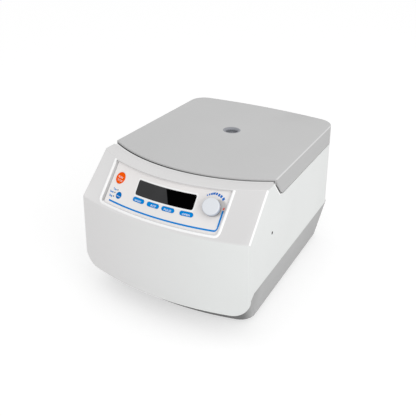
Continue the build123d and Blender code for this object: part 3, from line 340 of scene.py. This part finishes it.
# how far the grain swings the roughness down and up, and how deep it is in metres
relief = {"moulded": {"swing": (-0.05, 0.06), "depth": 0.0002}, "brushed": {"swing": (-0.07, 0.09), "depth": 0.0001},
          "turned": {"swing": (-0.08, 0.08), "depth": 0.00008}}


def addRelief(tree, shader, grain, kind, roughness, strength):
    low, high = relief[kind]["swing"]
    tree.links.new(spread(tree, grain, roughness + low, roughness + high), shader.inputs["Roughness"])
    bump = tree.nodes.new("ShaderNodeBump")
    bump.inputs["Strength"].default_value = strength
    bump.inputs["Distance"].default_value = relief[kind]["depth"]
    tree.links.new(grain, bump.inputs["Height"])
    tree.links.new(bump.outputs[0], shader.inputs["Normal"])


def addTint(tree, shader, noise, light, dark, paint=None):
    # the colour drifts between two near shades, and a piece's own paint goes over it
    colour = mixColours(tree, spread(tree, noise, 0.0, 1.0), srgb(light), srgb(dark))
    if paint:
        colour = paint(tree, colour)
    tree.links.new(colour, shader.inputs["Base Color"])


def scaleColour(tree, colour, factor):
    node = vectorNode(tree, "SCALE", colour)
    tree.links.new(factor, node.inputs["Scale"])
    return node.outputs["Vector"]


def plastic(name, light, dark, roughness=0.45, grain=900.0, bump=0.12, paint=None, **settings):
    material, tree, shader = newMaterial(name, roughness, **settings)
    group = placeGroup(tree, mouldedGrain, {"Grain Scale": grain, "Drift Scale": 8.0})
    addTint(tree, shader, group.outputs["Drift"], light, dark, paint)
    addRelief(tree, shader, group.outputs["Grain"], "moulded", roughness, bump)
    return material


def metal(name, light, dark, roughness=0.3, stretch=(1.0, 1.0, 12.0), scale=60.0, bump=0.05):
    material, tree, shader = newMaterial(name, roughness, 1.0)
    group = placeGroup(tree, brushedMetal, {"Stretch X": stretch[0], "Stretch Y": stretch[1],
                                            "Stretch Z": stretch[2], "Scale": scale})
    addTint(tree, shader, group.outputs["Cloud"], light, dark)
    addRelief(tree, shader, group.outputs["Scratch"], "brushed", roughness, bump)
    return material


def turnedMetal(name, light, dark, roughness=0.3, metallic=1.0, bump=0.06):
    material, tree, shader = newMaterial(name, roughness, metallic)
    group = placeGroup(tree, ringTurned, turning)
    addTint(tree, shader, group.outputs["Cloud"], light, dark)
    addRelief(tree, shader, group.outputs["Rings"], "turned", roughness, bump)
    return material


def rubber(name, light, dark):
    return plastic(name, light, dark, roughness=0.8, grain=500.0, bump=0.3)


# painted highlights on straight edges that catch the light, painted shade on edges that lie in shade, and painted shade
# in the small hole in the right side: start, end, half width, colour
caseLines = [((0.1433, -0.1766, 0.1655), (0.1402, -0.1165, 0.2222), 0.0022, "#FFFFFF"),
             ((0.1403, -0.0948, 0.2222), (0.1416, -0.0763, 0.2004), 0.0014, "#FFFFFF"),
             ((0.1416, -0.0763, 0.2004), (0.1418, -0.0712, 0.1958), 0.0012, "#FFFFFF"),
             ((0.1402, -0.0927, 0.2222), (0.1416, -0.0741, 0.2006), 0.0015, "#1E1F20"),
             ((0.1416, -0.0741, 0.2006), (0.1418, -0.0690, 0.1962), 0.0011, "#353637"),
             ((0.1350, -0.0990, 0.1453), (0.1500, -0.0990, 0.1453), 0.0026, "#08080A")]


def lineAlong(tree, first, last, width):
    along = Vector(last) - Vector(first)
    values = {"Start": first, "Along": tuple(along.normalized()), "Length": along.length, "Width": width}
    return placeGroup(tree, lineMask, values).outputs["Mask"]


def paintCase(tree, colour):
    zone = placeGroup(tree, caseZones, {})
    colour = mixColours(tree, zone.outputs["Cool"], srgb(casing["neutral"]), colour)
    colour = scaleColour(tree, colour, zone.outputs["Tone"])
    # painted shadow in the gap under the lid, then a painted highlight on the ledge's edge
    colour = mixColours(tree, zone.outputs["GapShade"], colour, srgb(ledge["grooveTint"]))
    colour = mixColours(tree, zone.outputs["Bright"], colour, srgb(ledge["brightTint"]))
    for first, last, width, tint in caseLines:
        colour = mixColours(tree, lineAlong(tree, first, last, width), colour, srgb(tint))
    return colour


lidPaint = {"bandZ": 0.2256, "bandSoft": 0.0005, "bandShade": 0.82, "sideShade": 0.77,
            "edgeX": 0.1385, "edgeZ": 0.2250, "edgeSoftX": 0.0008, "edgeSoftZ": 0.0004, "edgeHighlight": 1.2,
            "lipShadeStart": (0.1402, -0.0903, 0.2240), "lipShadeEnd": (0.1417, -0.0700, 0.2000), "lipShadeWidth": 0.0016,
            "lipShade": 0.66}


def paintLid(tree, colour):
    # painted shade makes the sides darker than the top and darkens a band under its edge, painted shadow of the gap
    # lies along the slanting lip, and a painted highlight runs along the right edge
    place, x, y, z = splitPlace(tree)
    side = placeGroup(tree, sideMask, {}).outputs["Side"]
    below = stepDown(tree, z, lidPaint["bandZ"], lidPaint["bandSoft"])
    tone = mixValues(tree, below, 1.0, lidPaint["bandShade"])
    tone = mixValues(tree, product(tree, side, below), tone, lidPaint["sideShade"])
    lip = lineAlong(tree, lidPaint["lipShadeStart"], lidPaint["lipShadeEnd"], lidPaint["lipShadeWidth"])
    tone = mixValues(tree, lip, tone, lidPaint["lipShade"])
    edge = product(tree, stepUp(tree, x, lidPaint["edgeX"], lidPaint["edgeSoftX"]),
                   stepUp(tree, z, lidPaint["edgeZ"], lidPaint["edgeSoftZ"]))
    tone = mixValues(tree, edge, tone, lidPaint["edgeHighlight"])
    return scaleColour(tree, colour, tone)


basePaint = {"across": (0.127, 0.1365, 0.43, 1.0), "alongSide": (0.0, 0.19, 1.0, 0.93), "frontY": -0.08,
             "frontSoft": 0.02}


def paintBase(tree, colour):
    # painted shade under the apron and round the front corners, and painted shade that deepens slowly towards the rear
    place, x, y, z = splitPlace(tree)
    shade = rampValue(tree, mathNode(tree, "ABSOLUTE", x), *basePaint["across"])
    rear = rampValue(tree, y, *basePaint["alongSide"])
    front = stepDown(tree, y, basePaint["frontY"], basePaint["frontSoft"])
    return scaleColour(tree, colour, mixValues(tree, front, rear, shade))


film = {"lineX": 0.0977, "lineZ": 0.2196, "lineSoft": 0.0003, "lineTint": "#989898",
        "shadeX": 0.0828, "shadeZ": 0.1985, "shadeStretch": 1.25, "shade": (0.0105, 0.0135, 0.62, 1.0),
        "left": (-0.098, -0.02, 1.09, 1.0), "top": (0.2130, 0.22005, 1.0, 1.09)}


def paintFilm(tree, colour):
    # painted shade: a grey line along the film's upper and right edges and the knob's soft shadow; painted light makes
    # the left and upper ends lighter
    place, x, y, z = splitPlace(tree)
    over = mathNode(tree, "MAXIMUM", mathNode(tree, "SUBTRACT", x, film["lineX"]),
                    mathNode(tree, "SUBTRACT", z, film["lineZ"]))
    outline = stepUp(tree, over, 0.0, film["lineSoft"])
    awayZ = product(tree, mathNode(tree, "SUBTRACT", z, film["shadeZ"]), film["shadeStretch"])
    away = distance(tree, mathNode(tree, "SUBTRACT", x, film["shadeX"]), awayZ)
    tone = product(tree, rampValue(tree, away, *film["shade"]), rampValue(tree, x, *film["left"]),
                   rampValue(tree, z, *film["top"]))
    return mixColours(tree, outline, scaleColour(tree, colour, tone), srgb(film["lineTint"]))


knobPaint = {"base": (0.0764, -0.160591, 0.1974), "axis": (0.190271, -0.754609, 0.627983),
             "sideTop": 0.0136, "sideSoft": 0.0012, "sideTint": "#BCC3CF",
             "footTop": 0.0060, "footSoft": 0.004, "footTint": "#7C7E83"}


def paintKnob(tree, colour):
    # painted shade makes the knob's side a darker, cooler grey than its face, and painted shadow makes it darkest at
    # its foot
    place = splitPlace(tree)[0]
    fromBase = vectorNode(tree, "SUBTRACT", place, knobPaint["base"]).outputs["Vector"]
    rise = vectorNode(tree, "DOT_PRODUCT", fromBase, knobPaint["axis"]).outputs["Value"]
    for part in ("side", "foot"):
        below = stepDown(tree, rise, knobPaint[part + "Top"], knobPaint[part + "Soft"])
        colour = mixColours(tree, below, colour, srgb(knobPaint[part + "Tint"]))
    return colour


lightPaint = {"redX": 0.05, "soft": 0.001, "redTint": "#EA3418"}


def paintLights(tree, colour):
    # the light at the right is red, the others are dark
    place, x, y, z = splitPlace(tree)
    right = stepUp(tree, x, lightPaint["redX"], lightPaint["soft"])
    return mixColours(tree, right, colour, srgb(lightPaint["redTint"]))


whiteCase = plastic("whiteCase", "#E6E8E7", "#E2E4E3", roughness=0.38, grain=1400.0, bump=0.03, paint=paintCase)
# painted highlight: the lip's plastic is a whiter copy of the casing's and glows faintly, for the light its rounded
# edge catches
lipHighlight = plastic("lipHighlight", "#FAFAFA", "#F6F6F6", roughness=0.3, grain=1400.0, bump=0.02,
                   Emission_Color=(1.0, 1.0, 1.0, 1.0), Emission_Strength=0.06)
greyLid = plastic("greyLid", "#CBCBCB", "#C8C8C8", roughness=0.42, grain=1200.0, bump=0.05, paint=paintLid)
greyBase = plastic("greyBase", "#B1B1B1", "#ADADAD", roughness=0.5, grain=700.0, bump=0.12, paint=paintBase)
panelFilm = plastic("panelFilm", "#F1EEED", "#EFECEB", roughness=0.4, grain=2500.0, bump=0.02, paint=paintFilm)
filmWhite = plastic("filmWhite", "#FCFCFC", "#FAFAFA", roughness=0.4, grain=2500.0, bump=0.01)
inkFinish = {"roughness": 0.5, "grain": 2500.0, "bump": 0.01, "Specular_IOR_Level": 0.02}
keyFinish = {"roughness": 0.5, "grain": 2000.0, "bump": 0.03, "Specular_IOR_Level": 0.02}
printBlue = plastic("printBlue", "#0089DC", "#0085D6", **inkFinish)
scaleBlue = plastic("scaleBlue", "#0070CC", "#006CC6", **inkFinish)
printRed = plastic("printRed", "#F03A1C", "#EA3418", **inkFinish)
keyBlue = plastic("keyBlue", "#008CE0", "#0087DA", **keyFinish)
menuBlue = plastic("menuBlue", "#0074C8", "#0070C2", **keyFinish)
keyOrange = plastic("keyOrange", "#FF5F00", "#FC5B00", **keyFinish)
legendWhite = plastic("legendWhite", "#FFFFFF", "#F4F8FB", roughness=0.4, grain=2500.0, bump=0.01)
knobGrey = plastic("knobGrey", "#E3E6EB", "#DEE2E8", roughness=0.34, grain=1500.0, bump=0.02, paint=paintKnob)
blackPlastic = plastic("blackPlastic", "#17181A", "#101113", roughness=0.5, grain=800.0, bump=0.1)
innerPlastic = plastic("innerPlastic", "#D2D3D1", "#C9CAC8", roughness=0.5, grain=700.0, bump=0.12)
portGrey = plastic("portGrey", "#9B9DA3", "#909298", roughness=0.45, grain=900.0, bump=0.08)
lampBlack = plastic("lampBlack", "#2A2B2D", "#1E1F21", roughness=0.25, grain=1500.0, bump=0.02, paint=paintLights)
motorPaint = plastic("motorPaint", "#2B2D30", "#222427", roughness=0.45, grain=400.0, bump=0.2)
boardGreen = plastic("boardGreen", "#1C6B3C", "#145530", roughness=0.35, grain=300.0, bump=0.15)
blackRubber = rubber("blackRubber", "#26272A", "#1B1C1E")
sealRubber = rubber("sealRubber", "#4A4B4E", "#3D3E41")
steelPlain = metal("steelPlain", "#C4C6C9", "#B2B4B8", roughness=0.28)
steelZinc = metal("steelZinc", "#B9BBBC", "#A3A6A8", roughness=0.4, stretch=(1, 1, 1), scale=160.0, bump=0.08)
copperWire = metal("copperWire", "#B46A3C", "#8D4A26", roughness=0.35, stretch=(1, 1, 40), scale=30.0, bump=0.3)
steelBowl = turnedMetal("steelBowl", "#C9CBCD", "#B9BCBF", roughness=0.26)
rotorMetal = turnedMetal("rotorMetal", "#6F747B", "#5D6168", roughness=0.42)


# the sweep's edge leans: it passes x 2 mm at the top and 13 mm at the foot
display = {"midX": 0.00255, "halfX": 0.04825, "midZ": 0.20065, "halfZ": 0.00905, "corner": 0.0026,
           "rimSoft": 0.0002, "rimTint": "#F4F4F4", "sweepLean": 0.58, "sweepStart": -0.1240, "sweepSharp": 900.0,
           "greys": ("#404041", "#3C3C3D"), "black": "#010101", "shine": 0.01, "roughness": (0.12, 0.2),
           "grain": {"Grain Scale": 1800.0, "Drift Scale": 30.0}}


def makeDisplayFilter():
    # dark filter with the lighter sweep of a reflection across its left part, and a pale rim round it
    material, tree, shader = newMaterial("displayFilter", display["roughness"][0],
                                         Specular_IOR_Level=display["shine"])
    group = placeGroup(tree, mouldedGrain, display["grain"])
    place, x, y, z = splitPlace(tree)
    lean = mathNode(tree, "MULTIPLY_ADD", z, display["sweepLean"], display["sweepStart"])
    side = mathNode(tree, "MULTIPLY_ADD", mathNode(tree, "ADD", x, lean), display["sweepSharp"], 0.5, clamp=True)
    drift = spread(tree, group.outputs["Drift"], 0.0, 1.0)
    grey = mixColours(tree, drift, srgb(display["greys"][0]), srgb(display["greys"][1]))
    dark = mixColours(tree, side, grey, srgb(display["black"]))
    past = []
    for value, middle, half in ((x, "midX", "halfX"), (z, "midZ", "halfZ")):
        away = mathNode(tree, "ABSOLUTE", mathNode(tree, "SUBTRACT", value, display[middle]))
        beyond = mathNode(tree, "SUBTRACT", away, display[half] - display["corner"])
        past.append(mathNode(tree, "MAXIMUM", beyond, 0.0))
    rim = stepUp(tree, distance(tree, *past), display["corner"], display["rimSoft"])
    tree.links.new(mixColours(tree, rim, dark, srgb(display["rimTint"])), shader.inputs["Base Color"])
    tree.links.new(spread(tree, group.outputs["Grain"], *display["roughness"]), shader.inputs["Roughness"])
    return material


glass = {"roughness": 0.08, "clear": 0.6, "bend": 1.49, "tints": ("#A6A8AE", "#9EA0A6"),
         "grain": {"Grain Scale": 600.0, "Drift Scale": 40.0}}


def makePortGlass():
    # clouded, so that little shows through
    material, tree, shader = newMaterial("portGlass", glass["roughness"], Transmission_Weight=glass["clear"],
                                         IOR=glass["bend"])
    group = placeGroup(tree, mouldedGrain, glass["grain"])
    addTint(tree, shader, group.outputs["Drift"], *glass["tints"])
    return material


displayFilter = makeDisplayFilter()
portGlass = makePortGlass()
print("materials made")

finishes = {
    "housing": whiteCase, "base_pan": greyBase, "rubber_feet": blackRubber, "foot_screws": steelZinc,
    "housing_screws": steelZinc, "fixing_screws": steelZinc, "lid_shell": greyLid, "lid_liner": innerPlastic,
    "port_ring": portGrey, "port_window": portGlass, "lid_striker": steelPlain, "lid_screws": steelZinc,
    "hinge_leaves_lower": steelZinc, "hinge_leaves_upper": steelZinc, "hinge_pins": steelPlain,
    "chamber_bowl": steelBowl, "chamber_floor": steelBowl, "rim_gasket": sealRubber, "shaft_boot": blackRubber,
    "motor_housing": motorPaint, "motor_bearings": steelPlain, "motor_stator": copperWire, "motor_armature": steelPlain,
    "drive_shaft": steelPlain, "drive_collar": steelPlain, "motor_plate": steelZinc, "plate_posts": steelZinc,
    "rubber_dampers": blackRubber, "motor_screws": steelZinc, "angle_rotor": rotorMetal, "rotor_nut": steelBowl,
    "lock_bracket": steelZinc, "release_lever": steelPlain, "lock_bolt": steelPlain, "lock_solenoid": motorPaint,
    "release_guide": innerPlastic, "lid_switch": blackPlastic, "run_stop_key": keyOrange, "menu_key": menuBlue,
    "function_key_1": keyBlue, "function_key_2": keyBlue, "function_key_3": keyBlue, "function_key_4": keyBlue,
    "key_switches": blackPlastic, "status_lights": lampBlack, "setting_knob": knobGrey, "encoder_shaft": steelPlain,
    "knob_encoder": steelZinc, "control_overlay": panelFilm, "display_window": displayFilter,
    "control_board": boardGreen, "display_module": blackPlastic, "power_inlet": blackPlastic,
    "switch_bezel": blackPlastic, "power_rocker": blackPlastic, "fan_frame": blackPlastic,
    "fan_impeller": blackPlastic, "fan_screws": steelZinc, "power_board": boardGreen, "board_posts": steelZinc,
}


smoothing = {"weld": 0.000005, "angle": 25}


def smoothNode(piece):
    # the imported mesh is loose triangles: they are joined and split again at the true edges
    piece.data.polygons.foreach_set("use_smooth", [True] * len(piece.data.polygons))
    weld = piece.modifiers.new("weld", "WELD")
    weld.merge_threshold = smoothing["weld"]
    split = piece.modifiers.new("split", "EDGE_SPLIT")
    split.split_angle = math.radians(smoothing["angle"])
    split.use_edge_sharp = False


for name, piece in nodes.items():
    dress(piece, finishes[name])
    smoothNode(piece)
print("frame nodes dressed")

# Printed marks on the panel. Their places are (x, z) in millimetres, drawn on a plane in front of the machine.
overlay = nodes["control_overlay"]
ink = {"planeY": -0.26, "lift": 0.00006, "step": 2.0, "cornerParts": 6, "bendParts": 8}


def wrapOnto(piece, target):
    # carries a flat piece that stands in front of the panel back onto it
    pickOnly(piece)
    wrap = piece.modifiers.new("wrap", "SHRINKWRAP")
    wrap.target = target
    wrap.wrap_method = "PROJECT"
    wrap.use_project_y = True
    wrap.use_positive_direction = True
    wrap.use_negative_direction = False
    wrap.wrap_mode = "ABOVE_SURFACE"
    wrap.offset = ink["lift"]
    applyAll(piece)


def standUp(piece, x=0, z=0):
    # from the XY plane to the plane in front of the machine, facing the user
    piece.rotation_euler = (math.pi / 2, 0, 0)
    piece.location = (x * mm, ink["planeY"], z * mm)
    applyPlace(piece)


def newPath(name, points):
    # a curve of straight stretches through points given in millimetres
    deselectAll()
    bpy.ops.curve.primitive_nurbs_path_add()
    piece = bpy.context.object
    piece.name = name
    piece.data.splines.clear()
    spline = piece.data.splines.new("POLY")
    spline.points.add(len(points) - 1)
    for point, (x, y, z) in zip(spline.points, points):
        point.co = (x * mm, y * mm, z * mm, 1)
    return piece.data, spline


def inkLine(name, points, width, material, closed=False):
    # a flat ribbon of ink along the points
    curve, spline = newPath(name, [(x, z, 0) for x, z in points])
    for point in spline.points:
        point.tilt = math.pi / 2
    spline.use_cyclic_u = closed
    curve.twist_mode = "Z_UP"
    curve.extrude = width / 2 * mm
    bpy.ops.object.convert(target="MESH")
    piece = bpy.context.object
    standUp(piece)
    wrapOnto(piece, overlay)
    dress(piece, material)
    return piece


def inkWords(name, words, x, z, width, material, target, tall, bold):
    # a generic word, centred at (x, z) and scaled to a width
    deselectAll()
    bpy.ops.object.text_add()
    piece = bpy.context.object
    piece.name = name
    piece.data.body = words
    piece.data.align_x = "CENTER"
    piece.data.align_y = "CENTER"
    piece.data.offset = bold
    piece.data.resolution_u = 3
    bpy.context.view_layer.update()
    factor = width * mm / piece.dimensions.x
    bpy.ops.object.convert(target="MESH")
    piece = bpy.context.object
    piece.scale = (factor, factor * tall, 1)
    standUp(piece, x, z)
    wrapOnto(piece, target)
    dress(piece, material)
    return piece


def finePath(path, step):
    # points added so that none are further apart than the step, or nearly so
    dense = []
    for a, b in zip(path, path[1:]):
        parts = max(1, int(math.dist(a, b) / step))
        dense += [(a[0] + (b[0] - a[0]) * k / parts, a[1] + (b[1] - a[1]) * k / parts) for k in range(parts)]
    return dense + [path[-1]]


def roundedPath(x0, x1, z0, z1, radius):
    # a closed path round a rectangle with rounded corners
    corners = [(x1 - radius, z0 + radius, -90), (x1 - radius, z1 - radius, 0),
               (x0 + radius, z1 - radius, 90), (x0 + radius, z0 + radius, 180)]
    path = []
    for cx, cz, start in corners:
        for i in range(ink["cornerParts"] + 1):
            angle = math.radians(start + 90 / ink["cornerParts"] * i)
            path.append((cx + radius * math.cos(angle), cz + radius * math.sin(angle)))
    return finePath(path + path[:1], ink["step"])[:-1]


def bentPath(corners, radius, step):
    # an open path with its inner corners rounded
    path = [corners[0]]
    for before, corner, after in zip(corners, corners[1:], corners[2:]):
        middle = Vector(corner)
        start = middle - (middle - Vector(before)).normalized() * radius
        end = middle + (Vector(after) - middle).normalized() * radius
        for i in range(ink["bendParts"] + 1):
            t = i / ink["bendParts"]
            path.append(tuple(start * (1 - t) ** 2 + middle * 2 * t * (1 - t) + end * t ** 2))
    return finePath(path + [corners[-1]], step)


border = {"leftX": -89.6, "footX": 92.6, "topX": 92.0, "lowZ": 173.6, "topZ": 196.2, "corner": 4.5, "width": 1.95,
          "legX": 92.45, "legZ": 178.6, "legWidth": 2.4}
borderPath = bentPath([(border["leftX"], border["lowZ"]), (border["footX"], border["lowZ"]),
                       (border["topX"], border["topZ"])], border["corner"], ink["step"])
borderLine = inkLine("borderLine", borderPath, border["width"], printBlue)
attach(borderLine, "casing")
borderLegPath = finePath([(border["legX"], border["legZ"]), (border["topX"], border["topZ"])], ink["step"])
borderLeg = inkLine("borderLeg", borderLegPath, border["legWidth"], printBlue)
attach(borderLeg, "casing")

windowFrame = {"x0": -47.0, "x1": 52.1, "z0": 190.4, "z1": 210.9, "corner": 2.6, "width": 1.5}
framePath = roundedPath(windowFrame["x0"], windowFrame["x1"], windowFrame["z0"], windowFrame["z1"],
                        windowFrame["corner"])
frameRing = inkLine("windowFrame", framePath, windowFrame["width"], filmWhite, closed=True)
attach(frameRing, "casing")
print("border and window frame printed")

# speed scale: bars that grow round the knob
scale = {"spots": [(65.2, 211.4), (67.5, 212.5), (69.7, 213.3), (71.8, 213.9), (74.1, 214.3),
                   (77.2, 214.2), (80.7, 213.1), (84.2, 211.8), (88.0, 209.3)],
         "centre": (75.6, 198.6), "small": (1.2, 2.0), "large": (3.1, 3.2), "shift": (-0.7, -0.3),
         "corner": 0.12, "cornerParts": 2}


def scaleBar(index, spot):
    # one bar of the scale, turned away from the knob
    share = index / (len(scale["spots"]) - 1)
    wide = scale["small"][0] + (scale["large"][0] - scale["small"][0]) * share
    tall = scale["small"][1] + (scale["large"][1] - scale["small"][1]) * share
    lean = math.atan2(spot[0] - scale["centre"][0], spot[1] - scale["centre"][1])
    deselectAll()
    bpy.ops.mesh.primitive_plane_add(size=1)
    bar = bpy.context.object
    bar.scale = (wide * mm, tall * mm, 1)
    applyPlace(bar)
    bpy.ops.object.mode_set(mode="EDIT")
    bpy.ops.mesh.select_all(action="SELECT")
    bpy.ops.mesh.bevel(offset=scale["corner"] * mm, segments=scale["cornerParts"], affect="VERTICES")
    bpy.ops.object.mode_set(mode="OBJECT")
    bar.rotation_euler = (math.pi / 2, 0, 0)
    applyPlace(bar)
    bar.rotation_euler = (0, lean, 0)
    bar.location = ((spot[0] + scale["shift"][0]) * mm, ink["planeY"], (spot[1] + scale["shift"][1]) * mm)
    applyPlace(bar)
    return bar


bars = [scaleBar(i, spot) for i, spot in enumerate(scale["spots"])]
deselectAll()
for bar in bars:
    bar.select_set(True)
bpy.context.view_layer.objects.active = bars[0]
bpy.ops.object.join()
speedScale = bpy.context.object
speedScale.name = "speedScale"
wrapOnto(speedScale, overlay)
dress(speedScale, scaleBlue)
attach(speedScale, "casing")
print("speed scale printed")

# generic words on the keys and beside the mode lights
legends = {"tall": 0.68, "bold": 0.006, "words": [
    ("wordRun", "RUN", -82.6, 203.2, 9.4, "run_stop_key"),
    ("wordStop", "STOP", -82.0, 199.4, 10.2, "run_stop_key"),
    ("wordMode", "MODE", -74.2, 182.2, 7.0, "menu_key"),
    ("wordShort", "SHORT", -36.6, 185.7, 12.0, "function_key_1"),
    ("wordRcf", "RCF", -8.8, 185.8, 8.6, "function_key_2"),
    ("wordPulse", "PULSE", 14.9, 185.8, 11.6, "function_key_3"),
    ("wordOpen", "OPEN", 43.8, 185.7, 11.4, "function_key_4")]}
for name, words, x, z, width, key in legends["words"]:
    word = inkWords(name, words, x, z, width, legendWhite, nodes[key], legends["tall"], legends["bold"])
    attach(word, key)

modeWords = {"tall": 0.95, "bold": 0.035, "words": [
    ("wordTime", "Time", -85.4, 187.6, 7.0),
    ("wordSpeed", "Speed", -90.0, 183.6, 7.6),
    ("wordStep", "Step", -89.2, 179.0, 6.6)]}
for name, words, x, z, width in modeWords["words"]:
    word = inkWords(name, words, x, z, width, printBlue, overlay, modeWords["tall"], modeWords["bold"])
    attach(word, "casing")
print("legends printed")

# a printed red spot under the light at the right
redSpot = {"x": 91.9, "z": 198.3, "radius": 1.2, "sides": 24}
deselectAll()
bpy.ops.mesh.primitive_circle_add(vertices=redSpot["sides"], radius=redSpot["radius"] * mm, fill_type="NGON")
redInk = bpy.context.object
redInk.name = "redInk"
standUp(redInk, redSpot["x"], redSpot["z"])
wrapOnto(redInk, overlay)
dress(redInk, printRed)
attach(redInk, "casing")

# The pocket's rounded lip, in millimetres. It lies in the sloping panel's outer face.
slope = {"lowZ": 165, "highZ": 222.5, "lowRadius": 450, "highRadius": 260, "lowY": -200, "highY": -157}
pocketLip = {"left": -104.6, "right": 98.3, "low": 168.9, "top": 220.6, "corner": 6.5, "step": 3.0, "radius": 2.3,
             "sunk": 1.25, "rounding": 3}


def slopeY(x, z):
    # a low arc and a high arc joined by straight lines
    share = (z - slope["lowZ"]) / (slope["highZ"] - slope["lowZ"])
    low = slope["lowY"] + slope["lowRadius"] - math.sqrt(slope["lowRadius"] ** 2 - x * x)
    high = slope["highY"] + slope["highRadius"] - math.sqrt(slope["highRadius"] ** 2 - x * x)
    return low + (high - low) * share


def makeLip():
    left, right, low, top = (pocketLip[side] for side in ("left", "right", "low", "top"))
    outline = bentPath([(left, top), (left, low), (right, low), (right, top)], pocketLip["corner"], pocketLip["step"])
    curve, spline = newPath("pocketLip", [(x, slopeY(x, z) + pocketLip["sunk"], z) for x, z in outline])
    curve.bevel_depth = pocketLip["radius"] * mm
    curve.bevel_resolution = pocketLip["rounding"]
    curve.use_fill_caps = True
    bpy.ops.object.convert(target="MESH")
    lip = bpy.context.object
    applyPlace(lip)
    bpy.ops.object.shade_smooth()
    dress(lip, lipHighlight)
    return lip


lip = makeLip()
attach(lip, "casing")
print("pocket lip made")

# Studio.
studio = {"world": 0.8, "background": 1.0, "keyPower": 11.0, "keySize": 1.6, "keyPlace": (1.62, -0.86, 1.05),
          "keyTarget": (0, 0, 0.1), "floorSize": 12, "floorBase": (0.86, 0.86, 0.86, 1),
          "floorPaper": (0.55, 0.55, 0.55, 1), "floorGlow": 0.55}


def mixBySight(tree, unseen, seen, surface):
    # the second shader where the camera, a reflection or glass looks straight at it
    path = tree.nodes.new("ShaderNodeLightPath")
    either = mathNode(tree, "MAXIMUM", path.outputs["Is Camera Ray"], path.outputs["Is Glossy Ray"])
    every = mathNode(tree, "MAXIMUM", either, path.outputs["Is Transmission Ray"])
    mix = tree.nodes.new("ShaderNodeMixShader")
    tree.links.new(every, mix.inputs["Fac"])
    tree.links.new(unseen.outputs[0], mix.inputs[1])
    tree.links.new(seen.outputs[0], mix.inputs[2])
    tree.links.new(mix.outputs[0], surface)


def makeWorld():
    world = bpy.data.worlds.new("studio")
    bpy.context.scene.world = world
    world.use_nodes = True
    tree = world.node_tree
    light = tree.nodes["Background"]
    light.inputs["Color"].default_value = (1, 1, 1, 1)
    light.inputs["Strength"].default_value = studio["world"]
    seen = tree.nodes.new("ShaderNodeBackground")
    seen.inputs["Strength"].default_value = studio["background"]
    mixBySight(tree, light, seen, tree.nodes["World Output"].inputs["Surface"])


def makeFloor():
    deselectAll()
    bpy.ops.mesh.primitive_plane_add(size=studio["floorSize"], location=(0, 0, 0))
    floor = bpy.context.object
    floor.name = "studioFloor"
    material, tree, shader = newMaterial("paleFloor", 1.0, Base_Color=studio["floorBase"], Specular_IOR_Level=0.0)
    paper = tree.nodes.new("ShaderNodeBsdfDiffuse")
    paper.inputs["Color"].default_value = studio["floorPaper"]
    glow = tree.nodes.new("ShaderNodeEmission")
    glow.inputs["Strength"].default_value = studio["floorGlow"]
    lit = tree.nodes.new("ShaderNodeAddShader")
    tree.links.new(paper.outputs[0], lit.inputs[0])
    tree.links.new(glow.outputs[0], lit.inputs[1])
    mixBySight(tree, shader, lit, tree.nodes["Material Output"].inputs["Surface"])
    dress(floor, material)


def makeLights():
    deselectAll()
    bpy.ops.object.light_add(type="AREA", location=studio["keyPlace"])
    key = bpy.context.object
    key.name = "softBox"
    key.data.energy = studio["keyPower"]
    key.data.size = studio["keySize"]
    toTarget = Vector(studio["keyTarget"]) - key.location
    key.rotation_euler = toTarget.to_track_quat("-Z", "Y").to_euler()


# the camera stands where the photograph was taken from: its right and up directions are unit vectors
cameraPlace = {"place": (0.390093, -0.761887, 0.576861), "right": (0.87754336, 0.47913444, 0.01865038),
               "up": (-0.24834902, 0.42089543, 0.87245046), "sensor": 36, "lens": 48.52, "shiftX": -0.0006,
               "near": 0.01}


def makeCamera():
    deselectAll()
    bpy.ops.object.camera_add()
    camera = bpy.context.object
    right, up = Vector(cameraPlace["right"]), Vector(cameraPlace["up"])
    turn = Matrix((right, up, right.cross(up))).transposed().to_4x4()
    camera.matrix_world = Matrix.Translation(cameraPlace["place"]) @ turn
    camera.data.sensor_width = cameraPlace["sensor"]
    camera.data.lens = cameraPlace["lens"]
    camera.data.shift_x = cameraPlace["shiftX"]
    camera.data.clip_start = cameraPlace["near"]
    bpy.context.scene.camera = camera


makeWorld()
makeFloor()
makeLights()
makeCamera()
bpy.context.scene.view_settings.view_transform = "Standard"
print("studio ready")
